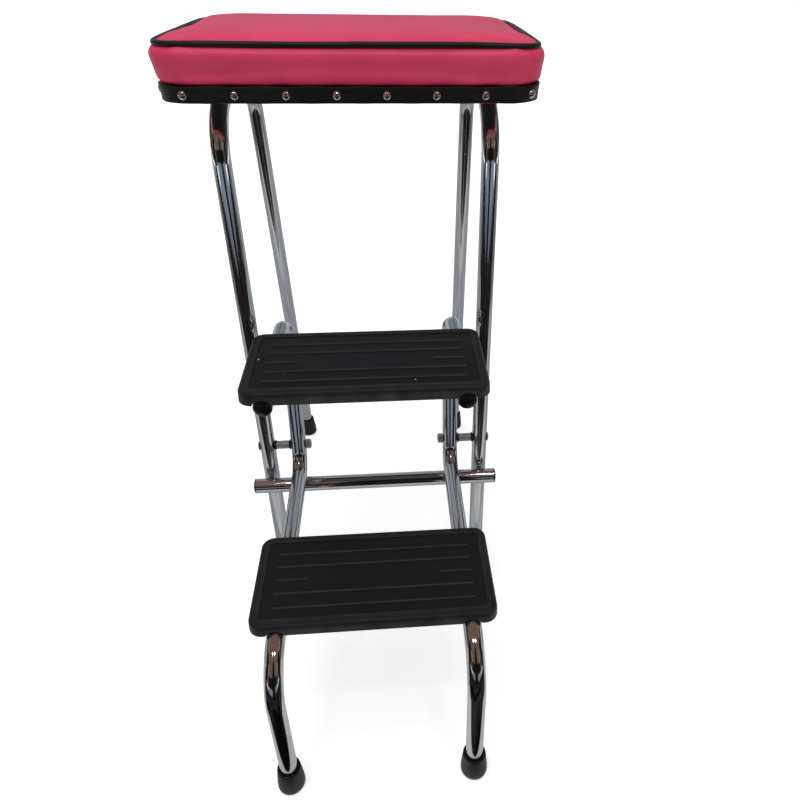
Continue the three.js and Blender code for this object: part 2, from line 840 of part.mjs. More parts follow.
place('seat_band', seatBand(), blackVinyl, 0, seatMiddleY, seatUndersideHeight);

// Cushion: a boxed pad. Its walls bulge above the band, turn in under the piping, and the top is
// crowned. Each level of the wall is [height above the board, how far it is in from the bulge].

const cushionBase = seatUndersideHeight + boardThickness + contactGap;
const cushionHalfWidth = bandHalfWidth + cushionOverhang;
const cushionHalfDepth = seatDepth / 2 + cushionOverhang;
const grooveInset = pipingInset + pipingRadius + 2 * contactGap;
const grooveHalfHeight = pipingRadius + 2 * contactGap;
const wallBulge = wallHeightShares.map((share, i) => [pipingHeight * share, wallInsets[i]]);
const wallLevels = [
  [0, cushionOverhang + bandThickness + sideBow + contactGap],
  ...wallBulge,
  [pipingHeight - grooveHalfHeight, grooveInset],
  [pipingHeight + grooveHalfHeight, grooveInset],
  [pipingHeight + grooveHalfHeight + contactGap, grooveInset + pipingRadius],
];

// The pad is thinner towards the back, and the cover pulls its corners down. Its foot stays level.
function sunk(x, y, height) {
  const u = x / cushionHalfWidth;
  const v = y / cushionHalfDepth;
  const drop = (backSag * (1 + v)) / 2 + cornerDrop * (u * v) ** 4;
  const share = Math.min(height / (pipingHeight - grooveHalfHeight), 1);
  return height - drop * share;
}

function roundCorner(x, y, halfWidth, halfDepth, radius) {
  const overX = Math.abs(x) - (halfWidth - radius);
  const overY = Math.abs(y) - (halfDepth - radius);
  if (overX <= 0 || overY <= 0) return [x, y];
  const reach = Math.max(overX, overY) / Math.hypot(overX, overY);
  return [
    Math.sign(x) * (halfWidth - radius + overX * reach),
    Math.sign(y) * (halfDepth - radius + overY * reach),
  ];
}

function cushion() {
  const levels = wallLevels.length - 1;
  const grid = new THREE.BoxGeometry(2, 2, 2, cushionColumns, cushionRows, levels);
  const position = grid.attributes.position;
  const [rimHeight, rimInset] = wallLevels[levels];
  for (let i = 0; i < position.count; i += 1) {
    const u = Math.sin((position.getX(i) * Math.PI) / 2);
    const v = Math.sin((position.getY(i) * Math.PI) / 2);
    const level = Math.round(((position.getZ(i) + 1) / 2) * levels);
    const [height, inset] = wallLevels[level];
    const top = level === levels;
    const halfWidth = cushionHalfWidth - (top ? rimInset : inset);
    const halfDepth = cushionHalfDepth - (top ? rimInset : inset);
    const share = Math.max(Math.abs(u), Math.abs(v));
    const radius = seatCornerRadius * share;
    const wide = halfWidth * share;
    const deep = halfDepth * share;
    const [cornerX, cornerY] = roundCorner(u * halfWidth, v * halfDepth, wide, deep, radius);
    const x = cornerX + sideBow * u * (1 - v * v);
    const y = cornerY + sideBow * v * (1 - u * u);
    const crown = top ? crownHeight * (1 - u ** 4) * (1 - v ** 4) : 0;
    position.setXYZ(i, x, y, sunk(x, y, top ? rimHeight : height) + crown);
  }
  return closed(grid);
}

place('seat_cushion', cushion(), pinkVinyl, 0, seatMiddleY, cushionBase);

// Piping: a round welt that runs once round the cushion's upper edge.

function piping() {
  const welt = new THREE.TorusGeometry(1, pipingRadius, weltSides, weltRings);
  const position = welt.attributes.position;
  const halfWidth = cushionHalfWidth - pipingInset;
  const halfDepth = cushionHalfDepth - pipingInset;
  const radius = seatCornerRadius - pipingInset;
  const { around } = alongOutline(halfWidth, halfDepth, radius, 0);
  for (let j = 0; j <= weltSides; j += 1) {
    for (let i = 0; i <= weltRings; i += 1) {
      const distance = (around * (i % weltRings)) / weltRings;
      const spot = alongOutline(halfWidth, halfDepth, radius, distance);
      const turn = ((j % weltSides) / weltSides) * Math.PI * 2;
      const cornerShare = Math.min((spot.x / halfWidth) ** 2, (spot.y / halfDepth) ** 2);
      const out = pipingRadius * Math.cos(turn) + sideBow * (1 - cornerShare);
      const x = spot.x + out * Math.cos(spot.facing);
      const y = spot.y + out * Math.sin(spot.facing);
      const middle = sunk(spot.x, spot.y, pipingHeight);
      position.setXYZ(j * (weltRings + 1) + i, x, y, middle + pipingRadius * Math.sin(turn));
    }
  }
  return closed(welt);
}

place('seat_piping', piping(), blackVinyl, 0, seatMiddleY, cushionBase);

export default stool;
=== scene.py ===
# %% [markdown]
# A folding step stool in Blender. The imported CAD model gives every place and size, and this
# lesson dresses it: mirror chrome tube, moulded rubber treads and a padded vinyl seat. Lengths
# are in metres, and MM turns a size in millimetres into one.

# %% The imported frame
import json
import math

import bpy
from mathutils import Matrix, Vector


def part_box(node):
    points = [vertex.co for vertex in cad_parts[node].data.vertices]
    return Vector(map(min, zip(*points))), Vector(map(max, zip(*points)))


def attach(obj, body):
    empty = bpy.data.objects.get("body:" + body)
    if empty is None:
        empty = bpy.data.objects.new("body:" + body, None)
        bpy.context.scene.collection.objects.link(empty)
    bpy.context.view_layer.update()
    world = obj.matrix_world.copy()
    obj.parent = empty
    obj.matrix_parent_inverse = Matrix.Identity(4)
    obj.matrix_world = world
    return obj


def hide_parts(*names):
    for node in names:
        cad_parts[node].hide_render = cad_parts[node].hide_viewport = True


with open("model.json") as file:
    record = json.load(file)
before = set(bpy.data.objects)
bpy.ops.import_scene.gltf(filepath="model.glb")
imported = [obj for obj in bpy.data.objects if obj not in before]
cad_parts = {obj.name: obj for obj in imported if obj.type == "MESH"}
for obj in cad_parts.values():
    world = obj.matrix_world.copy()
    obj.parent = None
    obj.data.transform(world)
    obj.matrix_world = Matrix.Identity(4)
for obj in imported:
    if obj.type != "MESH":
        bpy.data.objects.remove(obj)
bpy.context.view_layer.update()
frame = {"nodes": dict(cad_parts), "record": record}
MM = 0.001
SIDES = (("left", -1), ("right", 1))
scene = bpy.context.scene


def linked(name, data):
    """A new object with that data, put into the scene."""
    item = bpy.data.objects.new(name, data)
    scene.collection.objects.link(item)
    return item


# %% [markdown]
# The camera stands where the photograph was taken from: close, above the seat's height and
# looking down. A short lens at such a distance makes the seat look large and the lower tread
# far away. Its turn is built from three angles, as for a camera on a tripod.

# %% The camera
CAMERA_PLACE = Vector((29.7, -663.3, 770.9)) * MM
FOCAL_LENGTH_MM = 29.12
PAN, TILT, ROLL = (math.radians(v) for v in (5.569, 36.404, 1.146))
SHIFT_X, SHIFT_Y = -0.0589, 0.0086
NEAREST, FURTHEST = 0.01, 50


def camera_turn(pan, tilt, roll):
    """The camera's rotation: level and facing +Y, then panned, tilted down and rolled."""
    level = Matrix.Rotation(math.pi / 2, 3, "X")
    return (
        Matrix.Rotation(-pan, 3, "Z")
        @ level
        @ Matrix.Rotation(-tilt, 3, "X")
        @ Matrix.Rotation(roll, 3, "Z")
    )


camera_data = bpy.data.cameras.new("camera")
camera_data.lens = FOCAL_LENGTH_MM
camera_data.shift_x, camera_data.shift_y = SHIFT_X, SHIFT_Y
camera_data.clip_start, camera_data.clip_end = NEAREST, FURTHEST
camera = linked("camera", camera_data)
camera.location = CAMERA_PLACE
camera.rotation_euler = camera_turn(PAN, TILT, ROLL).to_euler()
scene.camera = camera
print("camera height in mm:", round(CAMERA_PLACE.z / MM))

# %% [markdown]
# Colours are written as a designer writes them, as sRGB hex, but shaders work in linear light,
# so one function turns one into the other. Another adds a node with its settings and its links,
# which keeps each material short enough to read.

# %% Helpers for materials
BLACK, WHITE = (0, 0, 0, 1), (1, 1, 1, 1)


def colour(code):
    """An sRGB hex colour as linear RGBA."""
    parts = [int(code[i : i + 2], 16) / 255 for i in (1, 3, 5)]
    linear = [c / 12.92 if c <= 0.04045 else ((c + 0.055) / 1.055) ** 2.4 for c in parts]
    return (*linear, 1.0)


def add(tree, kind, inputs=None, stops=(), **settings):
    """Adds a node. An input is a value, or the socket that it is linked from. Stops are a ramp's."""
    node = tree.nodes.new(kind)
    for name, value in settings.items():
        setattr(node, name, value)
    for key, value in (inputs or {}).items():
        if isinstance(value, bpy.types.NodeSocket):
            tree.links.new(value, node.inputs[key])
        else:
            node.inputs[key].default_value = value
    if stops:
        for element, (position, shade) in zip(node.color_ramp.elements, stops):
            element.position, element.color = position, shade
    return node


def new_material(name, **shader_inputs):
    """A material with one Principled shader. Returns it, its tree, shader and coordinates."""
    material = bpy.data.materials.new(name)
    material.use_nodes = True
    tree = material.node_tree
    tree.nodes.clear()
    shader = add(tree, "ShaderNodeBsdfPrincipled")
    for key, value in shader_inputs.items():
        shader.inputs[key.replace("_", " ")].default_value = value
    add(tree, "ShaderNodeOutputMaterial", {"Surface": shader.outputs["BSDF"]})
    place = add(tree, "ShaderNodeTexCoord").outputs["Object"]
    return material, tree, shader, place


def feed(tree, shader, **sockets):
    """Links sockets to the shader's inputs."""
    for key, socket in sockets.items():
        tree.links.new(socket, shader.inputs[key.replace("_", " ")])


def per_metre(size_mm):
    """A texture's Scale for features of that size."""
    return 1 / (size_mm * MM)


# %% [markdown]
# Decorative chrome is a thin hard plate over polished nickel. It reflects two thirds of the
# light with a faint blue cast and is almost a perfect mirror, so what sells it is the room
# around it. Years of handling leave soft smears, and damp leaves a few tiny brown pits.

# %% Chrome plate on steel tube
CHROME = "#D3D5D8"
PIT = "#5B4A3C"
SMEAR_MM = 40
CHROME_ROUGHNESS = (0.04, 0.13)
PIT_SPACING_MM = 6
PIT_EDGE = (0.03, 0.05)

chrome, tree, shader, place = new_material("chrome_plate", Metallic=1.0)
smear = add(
    tree, "ShaderNodeTexNoise", {"Vector": place, "Scale": per_metre(SMEAR_MM), "Detail": 5}
).outputs["Fac"]
pits = add(tree, "ShaderNodeTexVoronoi", {"Vector": place, "Scale": per_metre(PIT_SPACING_MM)})
pit_mask = add(
    tree, "ShaderNodeValToRGB", {"Fac": pits.outputs["Distance"]}, zip(PIT_EDGE, (WHITE, BLACK))
)
pitted = add(
    tree, "ShaderNodeMix",
    {"Factor": pit_mask.outputs["Color"], "A": colour(CHROME), "B": colour(PIT)}, data_type="RGBA",
)
low, high = CHROME_ROUGHNESS
rough = add(tree, "ShaderNodeMapRange", {"Value": smear, "To Min": low, "To Max": high})
raised = add(tree, "ShaderNodeBump", {"Height": smear, "Distance": 0.05 * MM, "Strength": 0.15})
feed(
    tree, shader, Base_Color=pitted.outputs["Result"],
    Roughness=rough.outputs["Result"], Normal=raised.outputs["Normal"],
)

# %% [markdown]
# Screws, bolts, nuts and spacers are zinc-plated steel: greyer and duller than chrome, with a
# fine mottle under a thin bloom of white oxide, so they are not wholly metallic. The nails are
# nickel plated, which is warmer than chrome and just as shiny. The plates under the treads are
# plain rolled sheet.

# %% Zinc, nickel and rolled steel
PLATE_SWING = (0.75, 1.3)
DULL_SHARE = 0.8
MOTTLE_EDGE = (0.3, 0.7)


def plated(name, code, roughness, mottle_mm, metallic=1.0):
    """A plated steel finish: a mottle moves its roughness and its brightness a little."""
    material, tree, shader, place = new_material(name, Metallic=metallic)
    mottle = add(
        tree, "ShaderNodeTexNoise", {"Vector": place, "Scale": per_metre(mottle_mm), "Detail": 4}
    ).outputs["Fac"]
    dull = (*(c * DULL_SHARE for c in colour(code)[:3]), 1.0)
    tone = add(tree, "ShaderNodeValToRGB", {"Fac": mottle}, zip(MOTTLE_EDGE, (dull, colour(code))))
    low, high = (roughness * share for share in PLATE_SWING)
    rough = add(tree, "ShaderNodeMapRange", {"Value": mottle, "To Min": low, "To Max": high})
    raised = add(tree, "ShaderNodeBump", {"Height": mottle, "Distance": 0.03 * MM, "Strength": 0.3})
    feed(
        tree, shader, Base_Color=tone.outputs["Color"],
        Roughness=rough.outputs["Result"], Normal=raised.outputs["Normal"],
    )
    return material


zinc = plated("zinc_plate", "#BABCBE", 0.4, 1.5, 0.75)
nickel = plated("nickel_plate", "#EFEAE1", 0.15, 4)
rolled_steel = plated("rolled_steel", "#8F9295", 0.4, 3)

# %% [markdown]
# Moulded rubber is a deep neutral black that never shines: the mould leaves a fine stipple, and
# carbon black scatters a dull grey sheen. The treads' raised edges are painted grey, partly wear
# from shoes and partly a painted sheen, and a painter has left a few drops of white.

# %% Moulded rubber
STIPPLE_MM = 0.7
SCUFF_MM = 22
SCUFF_SWING = (-0.1, 0.12)
FOOT_BLACK = "#121113"
TREAD_BLACK = "#141316"
# Raised tread edges turn this grey: partly wear from shoes, partly a painted sheen.
EDGE_WEAR_AND_SHEEN_GREY = "#48484A"
WEAR_AND_SHEEN_EDGE = (0.505, 0.56)
PAINT = "#E8E6E0"
PAINT_SPACING_MM = 34
DROP_EDGE = (0.018, 0.028)


def rubber(name, code, roughness, shine=0.5):
    """Moulded black rubber with a fine stipple. Returns the material and what the edge wear and painted
    sheen need.
    """
    material, tree, shader, place = new_material(
        name, IOR=1.5, Base_Color=colour(code), Specular_IOR_Level=shine
    )
    cloud = add(
        tree, "ShaderNodeTexNoise", {"Vector": place, "Scale": per_metre(SCUFF_MM), "Detail": 8}
    ).outputs["Fac"]
    low, high = (roughness + swing for swing in SCUFF_SWING)
    rough = add(tree, "ShaderNodeMapRange", {"Value": cloud, "To Min": low, "To Max": high})
    stipple = add(
        tree, "ShaderNodeTexNoise", {"Vector": place, "Scale": per_metre(STIPPLE_MM), "Detail": 2}
    ).outputs["Fac"]
    raised = add(tree, "ShaderNodeBump", {"Height": stipple, "Distance": 0.08 * MM, "Strength": 0.5})
    feed(tree, shader, Roughness=rough.outputs["Result"], Normal=raised.outputs["Normal"])
    return material, tree, shader, place, cloud


foot_rubber, *_ = rubber("foot_rubber", FOOT_BLACK, 0.5)
tread_rubber, tree, shader, place, cloud = rubber("tread_rubber", TREAD_BLACK, 0.46, 0.38)
# The grey on raised edges is partly wear and partly a painted sheen that stands in for their highlight.
edge = add(tree, "ShaderNodeNewGeometry").outputs["Pointiness"]
edge_wear_and_sheen = add(tree, "ShaderNodeValToRGB", {"Fac": edge}, zip(WEAR_AND_SHEEN_EDGE, (BLACK, WHITE)))
wear_and_sheen_mask = add(tree, "ShaderNodeMath", {0: edge_wear_and_sheen.outputs["Color"], 1: cloud}, operation="MULTIPLY")
wear_and_sheen_tone = add(
    tree, "ShaderNodeMix",
    {"Factor": wear_and_sheen_mask.outputs["Value"], "A": colour(TREAD_BLACK), "B": colour(EDGE_WEAR_AND_SHEEN_GREY)}, data_type="RGBA",
)
drops = add(tree, "ShaderNodeTexVoronoi", {"Vector": place, "Scale": per_metre(PAINT_SPACING_MM)})
drop_mask = add(
    tree, "ShaderNodeValToRGB", {"Fac": drops.outputs["Distance"]}, zip(DROP_EDGE, (WHITE, BLACK))
)
painted = add(
    tree, "ShaderNodeMix",
    {"Factor": drop_mask.outputs["Color"], "A": wear_and_sheen_tone.outputs["Result"], "B": colour(PAINT)},
    data_type="RGBA",
)
feed(tree, shader, Base_Color=painted.outputs["Result"])

# %% [markdown]
# Upholstery vinyl is soft PVC on a knitted back, embossed with a fine leather grain. PVC has
# an IOR near 1.53, and the embossing breaks its gloss into a satin. A Voronoi cell pattern
# gives the grain's little pebbles, and a slow noise stops the colour from looking printed.

# %% Upholstery vinyl
GRAIN_MM = 1.1
PATCH_MM = 60
PATCH_EDGE = (0.35, 0.65)
SATIN_SWING = 0.06


def vinyl(name, code, shade, roughness, grain_depth_mm):
    """Embossed vinyl cloth. shade is the colour that it turns to in its slow patches."""
    material, tree, shader, place = new_material(name, IOR=1.53)
    patch = add(
        tree, "ShaderNodeTexNoise", {"Vector": place, "Scale": per_metre(PATCH_MM), "Detail": 4}
    ).outputs["Fac"]
    shades = (colour(shade), colour(code))
    tone = add(tree, "ShaderNodeValToRGB", {"Fac": patch}, zip(PATCH_EDGE, shades))
    low, high = roughness - SATIN_SWING, roughness + SATIN_SWING
    rough = add(tree, "ShaderNodeMapRange", {"Value": patch, "To Min": low, "To Max": high})
    grain = add(
        tree, "ShaderNodeTexVoronoi", {"Vector": place, "Scale": per_metre(GRAIN_MM)},
        feature="SMOOTH_F1",
    ).outputs["Distance"]
    depth = grain_depth_mm * MM
    raised = add(tree, "ShaderNodeBump", {"Height": grain, "Distance": depth, "Strength": 0.6})
    feed(
        tree, shader, Base_Color=tone.outputs["Color"],
        Roughness=rough.outputs["Result"], Normal=raised.outputs["Normal"],
    )
    return material


pink_vinyl = vinyl("pink_vinyl", "#D8345C", "#CE2D55", 0.42, 0.09)
black_vinyl = vinyl("black_vinyl", "#131315", "#19191B", 0.38, 0.07)

# %% [markdown]
# The tube plugs and end caps are injection-moulded plastic, glossier than the rubber. The seat
# board is plywood stained black: the stain sinks in and leaves the long soft grain lines dull.

# %% Plastic and stained plywood
PLASTIC = "#0E0E10"
PLASTIC_ROUGHNESS = (0.14, 0.3)
HAZE_MM = 6
STAINS = ("#100F0F", "#1E1C1B")
FIBRE_MM = 3
FIBRE_STRETCH = 30
FIBRE_EDGE = (0.3, 0.7)

plastic, tree, shader, place = new_material("moulded_plastic", IOR=1.49, Base_Color=colour(PLASTIC))
haze = add(
    tree, "ShaderNodeTexNoise", {"Vector": place, "Scale": per_metre(HAZE_MM), "Detail": 3}
).outputs["Fac"]
low, high = PLASTIC_ROUGHNESS
rough = add(tree, "ShaderNodeMapRange", {"Value": haze, "To Min": low, "To Max": high})
raised = add(tree, "ShaderNodeBump", {"Height": haze, "Distance": 0.03 * MM, "Strength": 0.3})
feed(tree, shader, Roughness=rough.outputs["Result"], Normal=raised.outputs["Normal"])

plywood, tree, shader, place = new_material("stained_plywood", IOR=1.5, Roughness=0.6)
stretched = add(tree, "ShaderNodeMapping", {"Vector": place, "Scale": (1 / FIBRE_STRETCH, 1, 1)})
along = stretched.outputs["Vector"]
fibre = add(
    tree, "ShaderNodeTexNoise", {"Vector": along, "Scale": per_metre(FIBRE_MM), "Detail": 6}
).outputs["Fac"]
shades = [colour(code) for code in STAINS]
tone = add(tree, "ShaderNodeValToRGB", {"Fac": fibre}, zip(FIBRE_EDGE, shades))
raised = add(tree, "ShaderNodeBump", {"Height": fibre, "Distance": 0.1 * MM, "Strength": 0.4})
feed(tree, shader, Base_Color=tone.outputs["Color"], Normal=raised.outputs["Normal"])
print("materials:", len(bpy.data.materials))

# %% [markdown]
# Every finished piece goes through one function: it stays at the origin with its place in its
# mesh, takes its material, shades smooth up to a given crease angle, rides on its CAD body and
# stands for the CAD nodes that it replaces. Modifiers are used as tools: a holder carries them
# for a moment, and the mesh that they leave is kept plain.

# %% Meshes and finished pieces
CREASE = math.radians(35)
SOFT_CREASE = math.radians(60)
NO_CREASE = math.pi


def finish_piece(name, mesh, material, body, nodes=(), crease=CREASE):
    """Turns a mesh into a finished piece of the stool."""
    mesh.name = name
    mesh.materials.clear()
    mesh.materials.append(material)
    mesh.shade_smooth()
    mesh.set_sharp_from_angle(angle=crease)
    piece = linked(name, mesh)
    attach(piece, body)
    if nodes:
        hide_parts(*nodes)
    return piece


def mesh_from(points, faces=(), edges=()):
    """A mesh from plain lists."""
    mesh = bpy.data.meshes.new("part")
    mesh.from_pydata([tuple(p) for p in points], list(edges), list(faces))
    mesh.validate()
    return mesh


def baked(holder):
    """The holder's mesh as its modifiers leave it. The holder goes."""
    graph = bpy.context.evaluated_depsgraph_get()
    mesh = bpy.data.meshes.new_from_object(holder.evaluated_get(graph), depsgraph=graph)
    bpy.data.objects.remove(holder)
    return mesh


def modified(mesh, kind, **settings):
    """The mesh as one modifier leaves it."""
    holder = linked("holder", mesh)
    modifier = holder.modifiers.new("change", kind)
    for name, value in settings.items():
        setattr(modifier, name, value)
    return baked(holder)


# %% [markdown]
# The stool's skeleton is bent tube. A bent tube is a line of straight runs whose corners are
# rounded to the bender's radius, so the line is worked out first: the tangent length at a
# corner is the radius times the tangent of half the turn.

# %% Lines with rounded corners


def rounded_line(corners, radii, steps=20):
    """Points along straight runs, with each inner corner turned into an arc."""
    line = [corners[0]]
    for before, corner, after, radius in zip(corners, corners[1:], corners[2:], radii):
        arriving = (corner - before).normalized()
        leaving = (after - corner).normalized()
        turn = arriving.angle(leaving)
        start = corner - arriving * radius * math.tan(turn / 2)
        inward = (leaving - arriving * leaving.dot(arriving)).normalized()
        for i in range(steps + 1):
            angle = turn * i / steps
            line.append(
                start
                + arriving * radius * math.sin(angle)
                + inward * radius * (1 - math.cos(angle))
            )
    line.append(corners[-1])
    return line


def line_mesh(lines, closed=False):
    """A mesh of edges alone, which a node tree can turn into curves."""
    points, edges = [], []
    for line in lines:
        first = len(points)
        points += line
        edges += [(first + i, first + i + 1) for i in range(len(line) - 1)]
        if closed:
            edges.append((len(points) - 1, first))
    return mesh_from(points, edges=edges)


# %% [markdown]
# Geometry Nodes sweeps a round section along those lines. The tree is made once, with radius,
# sides and material as named inputs, and each use evaluates it and keeps a plain mesh.

# %% A node tree that sweeps a tube


def start_tree(name, inputs):
    """A node tree with a geometry input and named inputs. Returns it and its input sockets."""
    tree = bpy.data.node_groups.new(name, "GeometryNodeTree")
    face = tree.interface
    face.new_socket("Geometry", in_out="INPUT", socket_type="NodeSocketGeometry")
    for label, kind in inputs.items():
        face.new_socket(label, in_out="INPUT", socket_type="NodeSocket" + kind)
    face.new_socket("Geometry", in_out="OUTPUT", socket_type="NodeSocketGeometry")
    return tree, add(tree, "NodeGroupInput").outputs


def end_tree(tree, geometry, material):
    """Ends a tree in real geometry with its material set."""
    real = add(tree, "GeometryNodeRealizeInstances", {"Geometry": geometry})
    dressed = add(
        tree, "GeometryNodeSetMaterial", {"Geometry": real.outputs["Geometry"], "Material": material}
    )
    add(tree, "NodeGroupOutput", {"Geometry": dressed.outputs["Geometry"]})


def grown(tree, seed_mesh, **values):
    """Runs a tree on a mesh and returns the result as a plain mesh."""
    carrier = linked("carrier", seed_mesh)
    modifier = carrier.modifiers.new("tree", "NODES")
    modifier.node_group = tree
    for item in tree.interface.items_tree:
        if item.name in values:
            modifier[item.identifier] = values[item.name]
    return baked(carrier)


sweep, ends = start_tree("sweep_tube", {"Radius": "Float", "Sides": "Int", "Material": "Material"})
path = add(sweep, "GeometryNodeMeshToCurve", {"Mesh": ends["Geometry"]})
section = add(
    sweep, "GeometryNodeCurvePrimitiveCircle",
    {"Resolution": ends["Sides"], "Radius": ends["Radius"]},
)
swept = add(
    sweep, "GeometryNodeCurveToMesh",
    {"Curve": path.outputs["Curve"], "Profile Curve": section.outputs["Curve"], "Fill Caps": True},
)
end_tree(sweep, swept.outputs["Mesh"], ends["Material"])
print("nodes in the sweep tree:", len(sweep.nodes))

# %% [markdown]
# Each side frame is one tube: up the front leg, along under the seat and down the back leg.
# The legs lean towards each other by about a tenth of their height. The tube's radius and its
# place across the stool are read from the CAD node's box.

# %% The side frames
LEG_LEAN = 0.098
FRAME_BEND = 60 * MM
FRONT_FOOT_Y = -25.6 * MM
BACK_FOOT_Y = 316.6 * MM
SEAT_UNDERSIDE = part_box("seat_board")[0].z
frame_low, frame_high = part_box("side_frame_right")
TUBE_RADIUS = (frame_high.x - frame_low.x) / 2
FRAME_X = (frame_high.x + frame_low.x) / 2
FRAME_TOP = frame_high.z - TUBE_RADIUS
TUBE_FOOT = frame_low.z + TUBE_RADIUS * LEG_LEAN
TUBE_SIDES = 48


def front_leg_y(z):
    return FRONT_FOOT_Y + LEG_LEAN * z


def back_leg_y(z):
    return BACK_FOOT_Y - LEG_LEAN * z


def tube_piece(name, line, body, node):
    """A chromed tube along a line, in the place of a CAD node."""
    mesh = grown(sweep, line_mesh([line]), Radius=TUBE_RADIUS, Sides=TUBE_SIDES, Material=chrome)
    return finish_piece(name, mesh, chrome, body, [node])


for side, sign in SIDES:
    corners = [
        Vector((sign * FRAME_X, front_leg_y(TUBE_FOOT), TUBE_FOOT)),
        Vector((sign * FRAME_X, front_leg_y(FRAME_TOP), FRAME_TOP)),
        Vector((sign * FRAME_X, back_leg_y(FRAME_TOP), FRAME_TOP)),
        Vector((sign * FRAME_X, back_leg_y(TUBE_FOOT), TUBE_FOOT)),
    ]
    line = rounded_line(corners, (FRAME_BEND, FRAME_BEND))
    tube_piece(f"frame_tube_{side}", line, "frame", f"side_frame_{side}")
print("tube diameter in mm:", round(2 * TUBE_RADIUS / MM, 2))

# %% [markdown]
# A step tube runs back under the upper tread, turns down through the pivot, turns forward under
# the lower tread, and turns down again to its own foot. It also splays a little towards both
# ends, so its corners are given in the plane of each run. The stop bar is a straight tube.

# %% The step tubes and the stop bar
TOP_BEND = 28 * MM
STEP_BEND = 32 * MM
KNEE_BEND = 50 * MM
UPRIGHT_LEAN = 0.336
KNEE_LEAN = 0.01
PIVOT_HEIGHT = 231 * MM
STEP_FOOT_Y = FRONT_FOOT_Y - 291 * MM
# From a tread's top down to its plate's top, and down to its tubes.
COVER_RISE = 6.3 * MM
TREAD_STACK = 8.6 * MM
UPPER_TREAD_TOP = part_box("upper_tread_plate")[1].z + COVER_RISE
LOWER_TREAD_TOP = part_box("lower_tread_plate")[1].z + COVER_RISE
TREADS = (("upper", UPPER_TREAD_TOP), ("lower", LOWER_TREAD_TOP))
UPPER_RUN = UPPER_TREAD_TOP - TREAD_STACK - TUBE_RADIUS
LOWER_RUN = LOWER_TREAD_TOP - TREAD_STACK - TUBE_RADIUS
UPPER_END_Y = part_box("upper_tread_plate")[0].y
# Distances from the middle, from the upper end down to the foot.
STEP_SPLAY = [101.5 * MM, 100.5 * MM, 98 * MM, 98.5 * MM, 102.3 * MM]
# A tight bend flattens a tube: its outer wall sinks and its sides spread.
BEND_SPREAD = 0.15
BEND_SINK = 0.08


def upright_y(z):
    return front_leg_y(PIVOT_HEIGHT) + UPRIGHT_LEAN * (z - PIVOT_HEIGHT)


def step_corners(sign):
    """The corners of a step tube's line, from its upper end down to its foot."""
    end, top, bottom, knee, foot = (sign * x for x in STEP_SPLAY)
    return [
        Vector((end, UPPER_END_Y, UPPER_RUN)),
        Vector((top, upright_y(UPPER_RUN), UPPER_RUN)),
        Vector((bottom, upright_y(LOWER_RUN), LOWER_RUN)),
        Vector((knee, STEP_FOOT_Y + KNEE_LEAN * LOWER_RUN, LOWER_RUN)),
        Vector((foot, STEP_FOOT_Y + KNEE_LEAN * TUBE_FOOT, TUBE_FOOT)),
    ]


def flatten_top_bend(mesh, sign):
    """Flattens the tube at its upper bend, most at the middle of the turn."""
    corner = step_corners(sign)[1]
    turn = math.pi / 2 + math.atan(UPRIGHT_LEAN)
    middle = Vector((corner.y - TOP_BEND * math.tan(turn / 2), corner.z - TOP_BEND))
    for vertex in mesh.vertices:
        arm = Vector((vertex.co.y, vertex.co.z)) - middle
        if vertex.co.z < PIVOT_HEIGHT or arm.length > TOP_BEND + 2 * TUBE_RADIUS:
            continue
        share = math.atan2(arm.x, arm.y) / turn
        if not 0 < share < 1:
            continue
        weight = math.sin(math.pi * share) ** 2
        aside = vertex.co.x - corner.x
        vertex.co.x += aside * BEND_SPREAD * weight
        outer = arm.length - TOP_BEND
        if outer > 0:
            arm *= (TOP_BEND + outer * (1 - BEND_SINK * weight)) / arm.length
            vertex.co.y, vertex.co.z = middle.x + arm.x, middle.y + arm.y


for side, sign in SIDES:
    line = rounded_line(step_corners(sign), (TOP_BEND, STEP_BEND, KNEE_BEND))
    piece = tube_piece(f"step_bent_tube_{side}", line, "step_unit", f"step_tube_{side}")
    flatten_top_bend(piece.data, sign)

bar_low, bar_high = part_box("stop_bar")
bar_middle = (bar_low + bar_high) / 2
bar_line = [Vector((x, bar_middle.y, bar_middle.z)) for x in (bar_low.x, bar_high.x)]
tube_piece("stop_bar_tube", bar_line, "frame", "stop_bar")

# %% [markdown]
# Feet, plugs, caps and bolt heads are turned shapes: a profile that goes round an axis. The
# first function below joins its rings with quads and closes both poles, and small arcs in a
# profile give the soft edges that a moulding has.

# %% Turned shapes
POLE_RADIUS = 1e-7


def turned(profile, sides=48):
    """A solid turned about Z. Its profile of (radius, height) ends at poles or at its start."""
    points, rings = [], []
    for radius, height in profile:
        count = 1 if radius < POLE_RADIUS else sides
        rings.append(range(len(points), len(points) + count))
        for i in range(count):
            angle = 2 * math.pi * i / sides
            points.append((radius * math.cos(angle), radius * math.sin(angle), height))
    faces = []
    for low, high in zip(rings, rings[1:]):
        for i in range(sides):
            j = (i + 1) % sides
            if len(low) == 1:
                faces.append((low[0], high[j], high[i]))
            elif len(high) == 1:
                faces.append((low[i], low[j], high[0]))
            else:
                faces.append((low[i], low[j], high[j], high[i]))
    return mesh_from(points, faces)


def arc(centre, radius, start, stop, steps=6):
    """Points of an arc in a profile, from one angle to another, in degrees."""
    angles = [math.radians(start + (stop - start) * i / steps) for i in range(steps + 1)]
    return [(centre[0] + radius * math.cos(a), centre[1] + radius * math.sin(a)) for a in angles]


def dome(radius, rise, base, steps):
    """Points of a dome in a profile, from its widest line at the base up to its pole."""
    angles = [math.pi / 2 * i / steps for i in range(steps)]
    flank = [(radius * math.cos(a), base + rise * math.sin(a)) for a in angles]
    return [*flank, (0, base + rise)]


